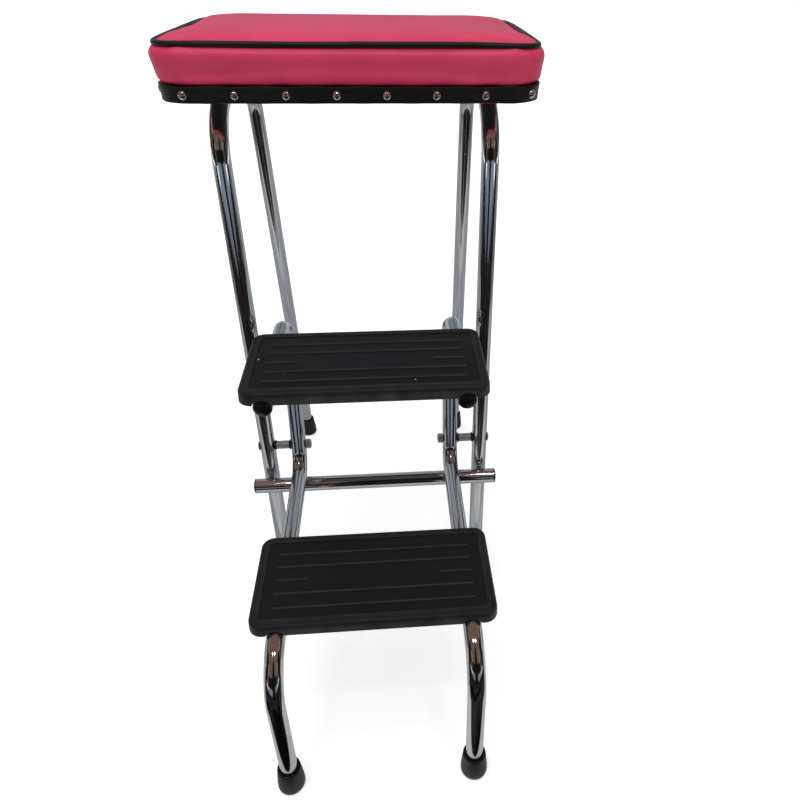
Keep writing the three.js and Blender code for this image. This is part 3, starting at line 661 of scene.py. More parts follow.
def aimed(mesh, place, direction):
    """Turns a mesh's Z axis to a direction and moves it to its place."""
    turn = Vector(direction).to_track_quat("Z", "Y").to_matrix().to_4x4()
    mesh.transform(Matrix.Translation(place) @ turn)
    return mesh


# %% [markdown]
# The rubber feet are pushed over the tube ends. They flare to a thick heel with a worn round
# edge, and their mouth grips the tube with a thin rolled lip. Each is sheared along its leg,
# so that its base stays flat on the floor.

# %% The rubber feet
foot_low, foot_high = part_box("front_foot_right")
FOOT_HEIGHT = foot_high.z - foot_low.z
FOOT_BASE_RADIUS = 15 * MM
FOOT_MOUTH_RADIUS = 12.7 * MM
FOOT_BORE = TUBE_RADIUS + 0.5 * MM
FOOT_FLOOR = 4.2 * MM
HEEL_ROUND = 2.5 * MM
LIP_ROUND = 1.0 * MM
# Between heel and lip: a radius, and its share of the foot's height.
FOOT_WAIST = [(14.7 * MM, 0.3), (13.9 * MM, 0.6), (12.8 * MM, 0.9)]


def foot_mesh(lean_x, lean_y, x, y):
    """A foot whose axis leans by so much for its height, on the floor at x and y."""
    heel = arc((FOOT_BASE_RADIUS - HEEL_ROUND, HEEL_ROUND), HEEL_ROUND, -90, 0)
    lip = arc((FOOT_MOUTH_RADIUS - LIP_ROUND, FOOT_HEIGHT - LIP_ROUND), LIP_ROUND, 0, 90)
    waist = [(radius, FOOT_HEIGHT * share) for radius, share in FOOT_WAIST]
    bore = [(FOOT_BORE, FOOT_HEIGHT), (FOOT_BORE, FOOT_FLOOR), (0, FOOT_FLOOR)]
    mesh = turned([(0, 0), *heel, *waist, *lip, *bore])
    mesh.transform(Matrix(((1, 0, lean_x, x), (0, 1, lean_y, y), (0, 0, 1, 0), (0, 0, 0, 1))))
    return mesh


for side, sign in SIDES:
    knee, foot = step_corners(sign)[3:]
    step_lean = (foot.x - knee.x) / (foot.z - knee.z)
    step_x = foot.x - step_lean * foot.z
    feet = {
        "front_foot": ("frame", 0, LEG_LEAN, sign * FRAME_X, FRONT_FOOT_Y),
        "back_foot": ("frame", 0, -LEG_LEAN, sign * FRAME_X, BACK_FOOT_Y),
        "step_foot": ("step_unit", step_lean, KNEE_LEAN, step_x, STEP_FOOT_Y),
    }
    for kind, (body, lean_x, lean_y, x, y) in feet.items():
        mesh = foot_mesh(lean_x, lean_y, x, y)
        node = f"{kind}_{side}"
        finish_piece(f"{kind}_cup_{side}", mesh, foot_rubber, body, [node])
print("foot height in mm:", round(FOOT_HEIGHT / MM, 1))

# %% [markdown]
# The bar's ends and the step tubes' upper ends are plugged. The bar's plugs are thin flat
# buttons, and the step tubes have bulging domes that stop a shin from catching on the rim.

# %% Plugs and domed caps
DOME_RADIUS = 9.7 * MM
DOME_HEIGHT = 5.6 * MM
DOME_RIM = 1.2 * MM
BUTTON_HEIGHT = 2.7 * MM
BUTTON_RIM = 0.6 * MM
PLUG_GAP = 0.3 * MM
SHANK_RADIUS = TUBE_RADIUS - 1.5 * MM


def cap_mesh(radius, height, rim):
    """A dome with a short straight rim, over a stub that fills the tube's end."""
    stub = [(0, -PLUG_GAP), (SHANK_RADIUS, -PLUG_GAP), (SHANK_RADIUS, PLUG_GAP), (radius, PLUG_GAP)]
    return turned([*stub, *dome(radius, height - rim, PLUG_GAP + rim, 12)])


for side, sign in SIDES:
    end, top = step_corners(sign)[:2]
    cap = aimed(cap_mesh(DOME_RADIUS, DOME_HEIGHT, DOME_RIM), end, end - top)
    node = f"step_end_cap_{side}"
    finish_piece(f"step_dome_cap_{side}", cap, plastic, "step_unit", [node])
    place = Vector((sign * bar_high.x, bar_middle.y, bar_middle.z))
    button = aimed(cap_mesh(TUBE_RADIUS, BUTTON_HEIGHT, BUTTON_RIM), place, (sign, 0, 0))
    node = f"bar_cap_{side}"
    finish_piece(f"bar_button_{side}", button, plastic, "frame", [node])

# %% [markdown]
# Each pivot is a bolt through the front leg and the step tube. A spacer keeps them apart, with a
# plastic washer at each end, and a nut closes it on the inner side. The CAD nodes give where each
# one starts and stops along the axis, so the detailed shapes drop straight in.

# %% The pivots
RING_SIDES = 40
HEX_SIDES = 6
HEX_RADIUS = 6.3 * MM
NUT_CAP = 1.4 * MM
NUT_CHAMFER_SHARE = 0.8
HEAD_RADIUS = 6.2 * MM
BOLT_RADIUS = 3 * MM
BORE_RADIUS = 3.4 * MM
WASHER_RADIUS = 6.6 * MM
SPACER_RADIUS = 5.3 * MM
EDGE_BREAK = 0.5 * MM


def reach(node):
    """Where a node starts and stops along the pivot's axis, from the stool's middle."""
    low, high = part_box(node)
    return sorted((abs(low.x), abs(high.x)))


def ring_mesh(outer, low, high):
    """A washer or spacer with broken edges, open in the middle."""
    profile = [
        (BORE_RADIUS, low), (outer - EDGE_BREAK, low), (outer, low + EDGE_BREAK),
        (outer, high - EDGE_BREAK), (outer - EDGE_BREAK, high), (BORE_RADIUS, high),
        (BORE_RADIUS, low),
    ]
    return turned(profile, RING_SIDES)


def bolt_mesh(inner, outer):
    """A bolt with a flattened dome for its head, which sits on the frame tube's outer side."""
    face = TUBE_RADIUS + FRAME_X + PLUG_GAP
    flat_share = (outer - face) / HEAD_RADIUS
    head = [(HEAD_RADIUS, face), *arc((0, face), HEAD_RADIUS, 12, 78)]
    head = [(radius, face + (height - face) * flat_share) for radius, height in head]
    return turned([(0, inner), (BOLT_RADIUS, inner), (BOLT_RADIUS, face), *head, (0, outer)])


def nut_mesh(low, high):
    """A blind hexagon nut, closed towards the stool's middle."""
    cap = low + NUT_CAP
    outside = [(0, low), (HEX_RADIUS * NUT_CHAMFER_SHARE, low), (HEX_RADIUS, cap), (HEX_RADIUS, high)]
    return turned([*outside, (BORE_RADIUS, high), (BORE_RADIUS, cap), (0, cap)], HEX_SIDES)


for side, sign in SIDES:
    axis = sum(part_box(f"pivot_bolt_{side}"), Vector()) / 2
    centre = Vector((0, axis.y, axis.z))
    # Each CAD node: its piece's name, mesh, material and slot.
    pivot_pieces = {
        f"pivot_bolt_{side}": (f"pivot_bolt_turned_{side}", bolt_mesh, zinc, "zinc"),
        f"pivot_washer_outer_{side}": (f"washer_outer_{side}", WASHER_RADIUS, plastic, "black_plastic"),
        f"pivot_washer_inner_{side}": (f"washer_inner_{side}", WASHER_RADIUS, plastic, "black_plastic"),
        f"pivot_spacer_{side}": (f"spacer_{side}", SPACER_RADIUS, zinc, "zinc"),
        f"pivot_nut_{side}": (f"nut_hex_{side}", nut_mesh, zinc, "zinc"),
    }
    for node, (name, form, material, slot) in pivot_pieces.items():
        mesh = form(*reach(node)) if callable(form) else ring_mesh(form, *reach(node))
        finish_piece(name, aimed(mesh, centre, (sign, 0, 0)), material, "frame", [node])

# %% [markdown]
# A tread is a rubber moulding: a rounded slab with a skirt, a raised border and a sunken field.
# It is lofted from rings. Each ring is the same rounded rectangle, drawn in by an inset and set
# at a height, which gives full control over every edge radius. Notches let the tubes through.

# %% The treads
TREAD_CORNER = 14 * MM
TREAD_EDGE = 3.2 * MM
EDGE_STEPS = 8
TREAD_WALL = 4 * MM
TREAD_THICK = 6 * MM
SKIRT_DRAFT = 0.8 * MM
SKIRT_ROUND = 0.6 * MM
BORDER = 11 * MM
FIELD_DEPTH = 0.8 * MM
# The border's inner edge: distances from its line, and shares of the field's depth.
BORDER_EDGE = [(-0.9 * MM, 0), (-0.5 * MM, 0.125), (-0.1 * MM, 1), (0.5 * MM, 1)]
NOTCH_RADIUS = 10.6 * MM
NOTCH_HALF = 8 * MM
LEAST_RADIUS = 0.2 * MM


def rounded_outline(half_x, half_y, radius, corner_steps=12):
    """The points of a rounded rectangle, anticlockwise from the right."""
    radius = max(radius, LEAST_RADIUS)
    points = []
    for quarter, (sx, sy) in enumerate(((1, 1), (-1, 1), (-1, -1), (1, -1))):
        for i in range(corner_steps + 1):
            angle = math.radians(90 * (quarter + i / corner_steps))
            points.append((
                sx * (half_x - radius) + radius * math.cos(angle),
                sy * (half_y - radius) + radius * math.sin(angle),
            ))
    return points


def lofted(rings):
    """A closed mesh from rings of as many points each, with both ends filled."""
    count = len(rings[0])
    points = [p for ring in rings for p in ring]
    faces = [tuple(reversed(range(count)))]
    for k in range(len(rings) - 1):
        low, high = k * count, (k + 1) * count
        for i in range(count):
            j = (i + 1) % count
            faces.append((low + i, low + j, high + j, high + i))
    last = (len(rings) - 1) * count
    faces.append(tuple(range(last, last + count)))
    return mesh_from(points, faces)


def tread_mesh(half_x, half_y, skirt):
    """A tread: up inside its skirt, round its edge and in over the border to the field."""
    levels = [
        (TREAD_WALL, -TREAD_THICK), (TREAD_WALL - SKIRT_DRAFT, -skirt),
        (SKIRT_ROUND, -skirt), (0, -skirt + SKIRT_ROUND),
    ]
    for i in range(EDGE_STEPS + 1):
        angle = math.pi / 2 * i / EDGE_STEPS
        inset = SKIRT_DRAFT + TREAD_EDGE * (1 - math.cos(angle))
        levels.append((inset, TREAD_EDGE * (math.sin(angle) - 1)))
    levels += [(BORDER + away, -FIELD_DEPTH * share) for away, share in BORDER_EDGE]
    rings = []
    for inset, height in levels:
        outline = rounded_outline(half_x - inset, half_y - inset, TREAD_CORNER - inset)
        rings.append([(x, y, height) for x, y in outline])
    return lofted(rings)


def cut_by(mesh, cutters):
    """The mesh with the cutters taken out of it."""
    body = linked("body", mesh)
    helpers = [linked("cutter", cutter) for cutter in cutters]
    for helper in helpers:
        cut = body.modifiers.new("cut", "BOOLEAN")
        cut.object, cut.operation, cut.solver = helper, "DIFFERENCE", "EXACT"
    result = baked(body)
    for helper in helpers:
        bpy.data.objects.remove(helper)
    return result


def run_x_at(sign, tread, y):
    """Where a step tube's run lies across the stool, at a depth y under a tread."""
    corners = step_corners(sign)
    start, stop = corners[:2] if tread == "upper" else corners[2:4]
    return start.x + (y - start.y) / (stop.y - start.y) * (stop.x - start.x)


notch = [(0, -NOTCH_HALF), (NOTCH_RADIUS, -NOTCH_HALF), (NOTCH_RADIUS, NOTCH_HALF), (0, NOTCH_HALF)]
for tread, top in TREADS:
    low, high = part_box(f"{tread}_tread_cover")
    half_x, half_y = (high.x - low.x) / 2, (high.y - low.y) / 2
    middle = (low.y + high.y) / 2
    mesh = tread_mesh(half_x, half_y, top - low.z)
    mesh.transform(Matrix.Translation((0, middle, top)))
    cutters = []
    for _, sign in SIDES:
        for y in (middle - half_y, middle + half_y):
            place = Vector((run_x_at(sign, tread, y), y, top - TREAD_STACK - TUBE_RADIUS))
            cutters.append(aimed(turned(notch), place, (0, 1, 0)))
    mesh = cut_by(mesh, cutters)
    node = f"{tread}_tread_cover"
    finish_piece(f"{tread}_tread_moulding", mesh, tread_rubber, "step_unit", [node])
print("tread width and depth in mm:", round(2 * half_x / MM, 1), round(2 * half_y / MM, 1))

# %% [markdown]
# The ribs on a tread are long thin ridges with round ends, in five rows. The middle row has only
# a short one at each end, and the space between them is bare. A node tree sweeps them along
# plain lines, and narrows the section near each end so that it closes in a half circle.

# %% The ribs on the treads
RIB_RADIUS = 1.5 * MM
RIB_RISE = 1.1 * MM
RIB_PITCH = 17.4 * MM
RIB_LENGTH = 207 * MM
SHORT_RIB = 33.5 * MM
RIBS_FORWARD = 2 * MM
RIB_STEP = 0.4 * MM
RIB_SIDES = 16
LEAST_SHARE = 0.02

rib_tree, ends = start_tree("tread_ribs", {"Radius": "Float", "Material": "Material"})
path = add(rib_tree, "GeometryNodeMeshToCurve", {"Mesh": ends["Geometry"]})
fine = add(
    rib_tree, "GeometryNodeResampleCurve",
    {"Curve": path.outputs["Curve"], "Length": RIB_STEP}, mode="LENGTH",
)
travelled = add(rib_tree, "GeometryNodeSplineParameter").outputs["Length"]
whole = add(rib_tree, "GeometryNodeSplineLength").outputs["Length"]
left_over = add(rib_tree, "ShaderNodeMath", {0: whole, 1: travelled}, operation="SUBTRACT")
to_end = add(
    rib_tree, "ShaderNodeMath", {0: travelled, 1: left_over.outputs[0]}, operation="MINIMUM"
)
share = add(
    rib_tree, "ShaderNodeMath", {0: to_end.outputs[0], 1: ends["Radius"]},
    operation="DIVIDE", use_clamp=True,
)
back = add(rib_tree, "ShaderNodeMath", {0: 1.0, 1: share.outputs[0]}, operation="SUBTRACT").outputs[0]
squared = add(rib_tree, "ShaderNodeMath", {0: back, 1: back}, operation="MULTIPLY")
rest = add(rib_tree, "ShaderNodeMath", {0: 1.0, 1: squared.outputs[0]}, operation="SUBTRACT")
root = add(rib_tree, "ShaderNodeMath", {0: rest.outputs[0]}, operation="SQRT")
section_size = add(
    rib_tree, "ShaderNodeMath", {0: root.outputs[0], 1: LEAST_SHARE}, operation="MAXIMUM"
)
section = add(
    rib_tree, "GeometryNodeCurvePrimitiveCircle", {"Resolution": RIB_SIDES, "Radius": ends["Radius"]}
)
ridge = add(
    rib_tree, "GeometryNodeCurveToMesh",
    {
        "Curve": fine.outputs["Curve"], "Profile Curve": section.outputs["Curve"],
        "Scale": section_size.outputs[0], "Fill Caps": True,
    },
)
end_tree(rib_tree, ridge.outputs["Mesh"], ends["Material"])

rib_rows = [(0, row, RIB_LENGTH) for row in (-2, -1, 1, 2)]
rib_rows += [(end * (RIB_LENGTH - SHORT_RIB) / 2, 0, SHORT_RIB) for end in (-1, 1)]
rib_lines = []
for tread, top in TREADS:
    low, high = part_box(f"{tread}_tread_cover")
    z = top - FIELD_DEPTH + RIB_RISE - RIB_RADIUS
    for x, row, length in rib_rows:
        y = (low.y + high.y) / 2 - RIBS_FORWARD + row * RIB_PITCH
        rib_lines.append([Vector((x - length / 2, y, z)), Vector((x + length / 2, y, z))])
ribs = grown(rib_tree, line_mesh(rib_lines), Radius=RIB_RADIUS, Material=tread_rubber)
finish_piece("tread_ribs", ribs, tread_rubber, "step_unit")
print("ribs:", len(rib_lines))

# %% [markdown]
# Board, band, nails, cushion and piping all follow one outline, a rectangle with round corners.
# A function gives the point at a distance along it, and the nails divide it evenly.

# %% The seat's outline
board_low, board_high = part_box("seat_board")
BAND_STAND_OFF = 2.5 * MM
SEAT_MIDDLE_Y = (board_low.y + board_high.y) / 2
BAND_HALF_X = board_high.x + BAND_STAND_OFF
BAND_HALF_Y = (board_high.y - board_low.y) / 2 + BAND_STAND_OFF
SEAT_CORNER = 30 * MM
NAIL_SPACING = 46.7 * MM
FIRST_NAIL = 32 * MM


def outline_spot(half_x, half_y, radius, distance):
    """The point at a distance along the outline, from the front's middle, and its facing."""
    straight = [2 * (half_x - radius), 2 * (half_y - radius)] * 2
    corner = math.pi / 2 * radius
    around = sum(straight) + 4 * corner
    rest = (distance + straight[0] / 2) % around
    for i, run in enumerate(straight):
        heading, facing = i * math.pi / 2, (i - 1) * math.pi / 2
        half = half_y if i % 2 == 0 else half_x
        if rest <= run:
            along, out, turned_to, bend = rest - run / 2, half, facing, 0
        elif rest <= run + corner:
            along, out = run / 2, half - radius
            turned_to, bend = facing + (rest - run) / radius, radius
        else:
            rest -= run + corner
            continue
        x = math.cos(heading) * along + math.cos(facing) * out + math.cos(turned_to) * bend
        y = math.sin(heading) * along + math.sin(facing) * out + math.sin(turned_to) * bend
        return Vector((x, y, 0)), turned_to
    raise ValueError("the distance is not on the outline")


def outline_length(half_x, half_y, radius):
    return 4 * (half_x + half_y - 2 * radius) + 2 * math.pi * radius


BAND_AROUND = outline_length(BAND_HALF_X, BAND_HALF_Y, SEAT_CORNER)
NAIL_COUNT = round(BAND_AROUND / NAIL_SPACING)
NAIL_DISTANCES = [FIRST_NAIL + i * BAND_AROUND / NAIL_COUNT for i in range(NAIL_COUNT)]
print("nails round the seat:", NAIL_COUNT)

# %% [markdown]
# The seat's edge is a strip of black vinyl, nailed round the board. The nails pinch it, so
# between them its top edge stands up and its face bulges. Both are a cosine of the distance
# along the outline, with one wave from nail to nail. Under it the pink vinyl is turned in and
# stapled, and its raw edge wanders: from below it edges the black board with a line of pink.

# %% The vinyl band and the hem under the board
BAND_STEPS = 720
BAND_THICK = 2.2 * MM
BAND_HEIGHT = 14 * MM
BAND_WAVE = 0.9 * MM
BAND_BULGE = 0.8 * MM
BAND_LIP = 0.9 * MM
BAND_ROUND = 0.6 * MM
BAND_BEVEL = 0.5 * MM
BAND_SLOPE = 0.3 * MM
BAND_FOOT_WAVE = 0.25 * MM
HEM_START = 2.6 * MM
HEM_ROUND = 0.4 * MM
HEM_WIDTH = 9 * MM
HEM_THICK = 0.9 * MM
HEM_GAP = 0.05 * MM
HEM_WANDER = 1.5 * MM
HEM_WAVES = 13


def closed_strip(rings):
    """A band of rings that meets its own start."""
    count = len(rings[0])
    points = [p for ring in rings for p in ring]
    faces = []
    for k in range(len(rings)):
        here, there = k * count, ((k + 1) % len(rings)) * count
        for i in range(count):
            j = (i + 1) % count
            faces.append((here + i, there + i, there + j, here + j))
    return mesh_from(points, faces)


def round_the_seat(section_at):
    """A closed strip. section_at gives its (outward, height) pairs at a distance."""
    rings = []
    for step in range(BAND_STEPS):
        distance = BAND_AROUND * step / BAND_STEPS
        spot, facing = outline_spot(BAND_HALF_X, BAND_HALF_Y, SEAT_CORNER, distance)
        out = Vector((math.cos(facing), math.sin(facing), 0))
        base = spot + Vector((0, SEAT_MIDDLE_Y, SEAT_UNDERSIDE))
        rings.append([base + out * o + Vector((0, 0, h)) for o, h in section_at(distance)])
    return closed_strip(rings)


def band_section(distance):
    """The band is pinched flat at a nail, and bulges and stands up half way between two."""
    wave = -math.cos(2 * math.pi * (distance - FIRST_NAIL) * NAIL_COUNT / BAND_AROUND)
    pinch = -0.5 * BAND_BULGE * max(0, -wave) ** 4
    bulge = BAND_BULGE * max(0, wave) * 0.4
    top = BAND_HEIGHT + BAND_WAVE * (0.6 + 0.5 * wave)
    low = -BAND_SLOPE - BAND_FOOT_WAVE * wave
    return [
        (-BAND_THICK, low), (-BAND_BEVEL, low), (0, low + BAND_ROUND),
        (bulge * 0.6 + pinch, BAND_HEIGHT * 0.3), (bulge + pinch, BAND_HEIGHT * 0.55),
        (bulge * 0.8 + BAND_BEVEL, BAND_HEIGHT * 0.82), (BAND_LIP, top - BAND_ROUND),
        (BAND_LIP - BAND_BEVEL, top), (-BAND_THICK, top - BAND_SLOPE),
    ]


def hem_section(distance):
    """The hem lies flat under the board, and its inner edge wanders."""
    inner = -HEM_WIDTH - HEM_WANDER * math.sin(2 * math.pi * HEM_WAVES * distance / BAND_AROUND)
    return [
        (-HEM_START, -HEM_GAP), (HEM_ROUND - HEM_START, -HEM_THICK * 2 / 3),
        (-HEM_START - HEM_ROUND, -HEM_THICK), (inner, -HEM_THICK * 0.8), (inner, -HEM_GAP),
    ]


band, hem = round_the_seat(band_section), round_the_seat(hem_section)
finish_piece("seat_band_vinyl", band, black_vinyl, "frame", ["seat_band"], SOFT_CREASE)
finish_piece("seat_hem_vinyl", hem, pink_vinyl, "frame", crease=SOFT_CREASE)

# %% [markdown]
# One nail head is a high dome with a thin rim. A node tree sets a copy on every nail point,
# turned to face outwards by an attribute that the points carry, and makes the copies real.

# %% The domed nails
NAIL_RADIUS = 4.4 * MM
NAIL_HEIGHT = 3.9 * MM
NAIL_RIM = 0.8 * MM
NAIL_RIM_SHARE = 0.97
NAIL_SIDES = 28

nail_rim = [(0, -NAIL_RIM), (NAIL_RADIUS * NAIL_RIM_SHARE, -NAIL_RIM), (NAIL_RADIUS, -NAIL_RIM / 2)]
nail_mesh = turned([*nail_rim, *dome(NAIL_RADIUS, NAIL_HEIGHT, 0, 10)], NAIL_SIDES)
nail_head = bpy.data.objects.new("nail_head", nail_mesh)
nail_head.data.shade_smooth()

nail_tree, ends = start_tree("nails", {"Nail": "Object", "Material": "Material"})
nail = add(nail_tree, "GeometryNodeObjectInfo", {"Object": ends["Nail"]})
facing = add(
    nail_tree, "GeometryNodeInputNamedAttribute", {"Name": "facing"}, data_type="FLOAT_VECTOR"
).outputs["Attribute"]
aim = add(nail_tree, "FunctionNodeAlignRotationToVector", {"Vector": facing}, axis="Z")
spots = add(nail_tree, "GeometryNodeMeshToPoints", {"Mesh": ends["Geometry"]})
copies = add(
    nail_tree, "GeometryNodeInstanceOnPoints",
    {
        "Points": spots.outputs["Points"], "Instance": nail.outputs["Geometry"],
        "Rotation": aim.outputs["Rotation"],
    },
)
end_tree(nail_tree, copies.outputs["Instances"], ends["Material"])

nail_points, nail_facing = [], []
for distance in NAIL_DISTANCES:
    spot, angle = outline_spot(BAND_HALF_X, BAND_HALF_Y, SEAT_CORNER, distance)
    nail_points.append(spot + Vector((0, SEAT_MIDDLE_Y, SEAT_UNDERSIDE + BAND_HEIGHT / 2)))
    nail_facing += [math.cos(angle), math.sin(angle), 0]
nail_spots = mesh_from(nail_points)
nail_spots.attributes.new("facing", "FLOAT_VECTOR", "POINT").data.foreach_set("vector", nail_facing)
nails = grown(nail_tree, nail_spots, Nail=nail_head, Material=nickel)
finish_piece("upholstery_nails", nails, nickel, "frame")
bpy.data.objects.remove(nail_head)

# %% [markdown]
# The cushion is a boxed pad: a foam block in vinyl, with its sides drawn down under the band.
# It starts as a lofted form close to the finished pad's. It is thinner towards the back, and its
# corners are pulled down.

# %% The cushion before it swells
cushion_low, cushion_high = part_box("seat_cushion")
CUSHION_BASE = cushion_low.z
CUSHION_TOP = cushion_high.z
CUSHION_OVERHANG = 4.2 * MM
CUSHION_HALF_X = BAND_HALF_X + CUSHION_OVERHANG
CUSHION_HALF_Y = BAND_HALF_Y + CUSHION_OVERHANG
CUSHION_CORNER = SEAT_CORNER + 2 * MM
LEAST_CORNER = 6 * MM
SEAM_HEIGHT = 34.5 * MM
SEAM_INSET = 9 * MM
CROWN_START = SEAM_HEIGHT + 1.5 * MM
CROWN_SWELL = 1.5 * MM
CROWN_SHARES = (0.98, 0.94, 0.88, 0.8, 0.68, 0.54, 0.38, 0.2, 0.08)
CROWN_FLATNESS, CROWN_STEEPNESS = 5, 0.6
START_SPREAD = 1.2 * MM
SIDE_BOW = 1.5 * MM
BACK_SAG = 4 * MM
CORNER_DROP = 2 * MM
SAG_HEIGHT = SEAM_HEIGHT - 4 * MM
# The wall from the board up, in mm: how far in from its widest line, and the height.
WALL = [(8.4, 0), (5.6, 2), (4.4, 6), (3.0, 12), (1.4, 18), (0.2, 24), (0.6, 28), (3.2, 32), (7.6, 34.5)]


def bowed(x, y, half_x, half_y):
    """Moves a point of the seat's outline out where a side is far from its corners."""
    u, v = x / half_x, y / half_y
    return x + SIDE_BOW * u * (1 - v * v), y + SIDE_BOW * v * (1 - u * u)


def sunk(x, y, height):
    """A height lowered towards the back and at the corners. The pad's foot stays."""
    u, v = x / CUSHION_HALF_X, y / CUSHION_HALF_Y
    drop = BACK_SAG * (1 + v) / 2 + CORNER_DROP * (u * v) ** 4
    return height - drop * min(height / SAG_HEIGHT, 1)


def cushion_seed():
    """The pad's closed form: walls that lean out above the band, a seam and a low crown."""
    top = CUSHION_TOP - CUSHION_BASE - CROWN_SWELL
    rings = [(inset * MM - START_SPREAD, height * MM, 1.0) for inset, height in WALL]
    for share in CROWN_SHARES:
        rise = (1 - share ** CROWN_FLATNESS) ** CROWN_STEEPNESS
        rings.append((SEAM_INSET - START_SPREAD, CROWN_START + (top - CROWN_START) * rise, share))
    made = []
    for inset, height, share in rings:
        half_x, half_y = CUSHION_HALF_X - inset, CUSHION_HALF_Y - inset
        shrink = (1 - share) * half_y
        radius = max(CUSHION_CORNER - inset / 2, LEAST_CORNER)
        outline = rounded_outline(half_x - shrink, half_y - shrink, radius * share ** 0.5, 16)
        outline = [bowed(x, y, CUSHION_HALF_X, CUSHION_HALF_Y) for x, y in outline]
        made.append([(x, y + SEAT_MIDDLE_Y, CUSHION_BASE + sunk(x, y, height)) for x, y in outline])
    return lofted(made)


# %% [markdown]
# Blender's cloth blows the form up like a balloon with its lowest edge held, which gives the
# tight skin its natural crown, and no point may move further than a cap.

# %% The cushion swells
VOXEL = 5 * MM
SWELL_CAP = 2.5 * MM
SWELL_FRAMES = 20
SWELL_PRESSURE = 4
SKIN_STIFFNESS = 40
HELD_EDGE = 3 * MM


def swollen(mesh, held_below):
    """Runs Cloth with pressure on a copy of the mesh, and caps how far each point moves."""
    pad = linked("pad", mesh)
    held = pad.vertex_groups.new(name="held")
    held.add([v.index for v in mesh.vertices if v.co.z < held_below], 1.0, "REPLACE")
    before = [v.co.copy() for v in mesh.vertices]
    cloth = pad.modifiers.new("cloth", "CLOTH")
    cloth.settings.vertex_group_mass = "held"
    cloth.settings.use_pressure = True
    cloth.settings.uniform_pressure_force = SWELL_PRESSURE
    cloth.settings.tension_stiffness = cloth.settings.compression_stiffness = SKIN_STIFFNESS
    cloth.settings.effector_weights.gravity = 0
    cloth.collision_settings.use_collision = False
    cloth.point_cache.frame_start, cloth.point_cache.frame_end = 1, SWELL_FRAMES
    for number in range(1, SWELL_FRAMES + 1):
        scene.frame_set(number)
    result = baked(pad)
    furthest = 0
    for vertex, start in zip(result.vertices, before):
        step = vertex.co - start
        furthest = max(furthest, step.length)
        if step.length > SWELL_CAP:
            vertex.co = start + step.normalized() * SWELL_CAP
    scene.frame_set(1)
    print("furthest swell in mm:", round(furthest / MM, 1))
    return result


pad = modified(cushion_seed(), "REMESH", mode="VOXEL", voxel_size=VOXEL)
pad = swollen(pad, CUSHION_BASE + HELD_EDGE)
print("cushion points:", len(pad.vertices))

# %% [markdown]
# After the swelling, code draws in what a needle and a hammer draw in: the seam sinks all round
# at the piping's height, and the wall has a shallow dimple over each nail, where the vinyl is
# pulled down to it.

# %% The seam and the dimples
SEAM_WIDTH = 4 * MM
SEAM_DEPTH = 1.5 * MM
SEAM_FOCUS = 12
DIMPLE_DEPTH = 1.6 * MM
DIMPLE_WIDTH = 9 * MM
DIMPLE_RISE = 16 * MM
DIMPLE_REACH = 12 * MM


def shape_wall(mesh):
    """Draws the pad's wall in along its seam and over the nails."""
    around = outline_length(CUSHION_HALF_X, CUSHION_HALF_Y, SEAT_CORNER)
    dimples = []
    for distance in NAIL_DISTANCES:
        distance *= around / BAND_AROUND
        spot, facing = outline_spot(CUSHION_HALF_X, CUSHION_HALF_Y, SEAT_CORNER, distance)
        dimples.append((spot.x, spot.y + SEAT_MIDDLE_Y, math.cos(facing), math.sin(facing)))
    for vertex in mesh.vertices:
        x, y, z = vertex.co
        height = z - CUSHION_BASE
        height += SEAM_HEIGHT - sunk(x, y - SEAT_MIDDLE_Y, SEAM_HEIGHT)
        over_x = max(0, abs(x) - (CUSHION_HALF_X - SEAT_CORNER))
        over_y = max(0, abs(y - SEAT_MIDDLE_Y) - (CUSHION_HALF_Y - SEAT_CORNER))
        if over_x == 0 and over_y == 0:
            continue
        out = Vector((math.copysign(over_x, x), math.copysign(over_y, y - SEAT_MIDDLE_Y), 0)).normalized()
        edge_share = min(1, math.hypot(over_x, over_y) / SEAT_CORNER)
        seam = math.exp(-(((height - SEAM_HEIGHT) / SEAM_WIDTH) ** 2)) * edge_share ** SEAM_FOCUS
        vertex.co -= out * SEAM_DEPTH * seam
        for dx, dy, fx, fy in dimples:
            aside = abs(-(x - dx) * fy + (y - dy) * fx)
            if aside > 3 * DIMPLE_WIDTH or (x - dx) * fx + (y - dy) * fy < -DIMPLE_REACH:
                continue
            pull = math.exp(-((aside / DIMPLE_WIDTH) ** 2)) * math.exp(-((height / DIMPLE_RISE) ** 2))
            vertex.co -= out * DIMPLE_DEPTH * pull
    return mesh


pad = modified(shape_wall(pad), "SUBSURF", levels=1, render_levels=1)
cushion = finish_piece("seat_pad", pad, pink_vinyl, "frame", ["seat_cushion"], NO_CREASE)

# %% [markdown]
# Piping is a cord in a strip of vinyl, sewn into the seam. It follows the pad's upper edge as a
# closed line, and the same sweep as the tubes makes it. A slow wave keeps it from being perfect.

# %% The piping
PIPING_RADIUS = 2.9 * MM
PIPING_STEPS = 480
PIPING_SIDES = 16
PIPING_WANDER = 0.5 * MM
WANDER_LENGTHS = (47 * MM, 131 * MM)
PIPING_HALF_X = CUSHION_HALF_X - SEAM_INSET
PIPING_HALF_Y = CUSHION_HALF_Y - SEAM_INSET
PIPING_CORNER = SEAT_CORNER - SEAM_INSET

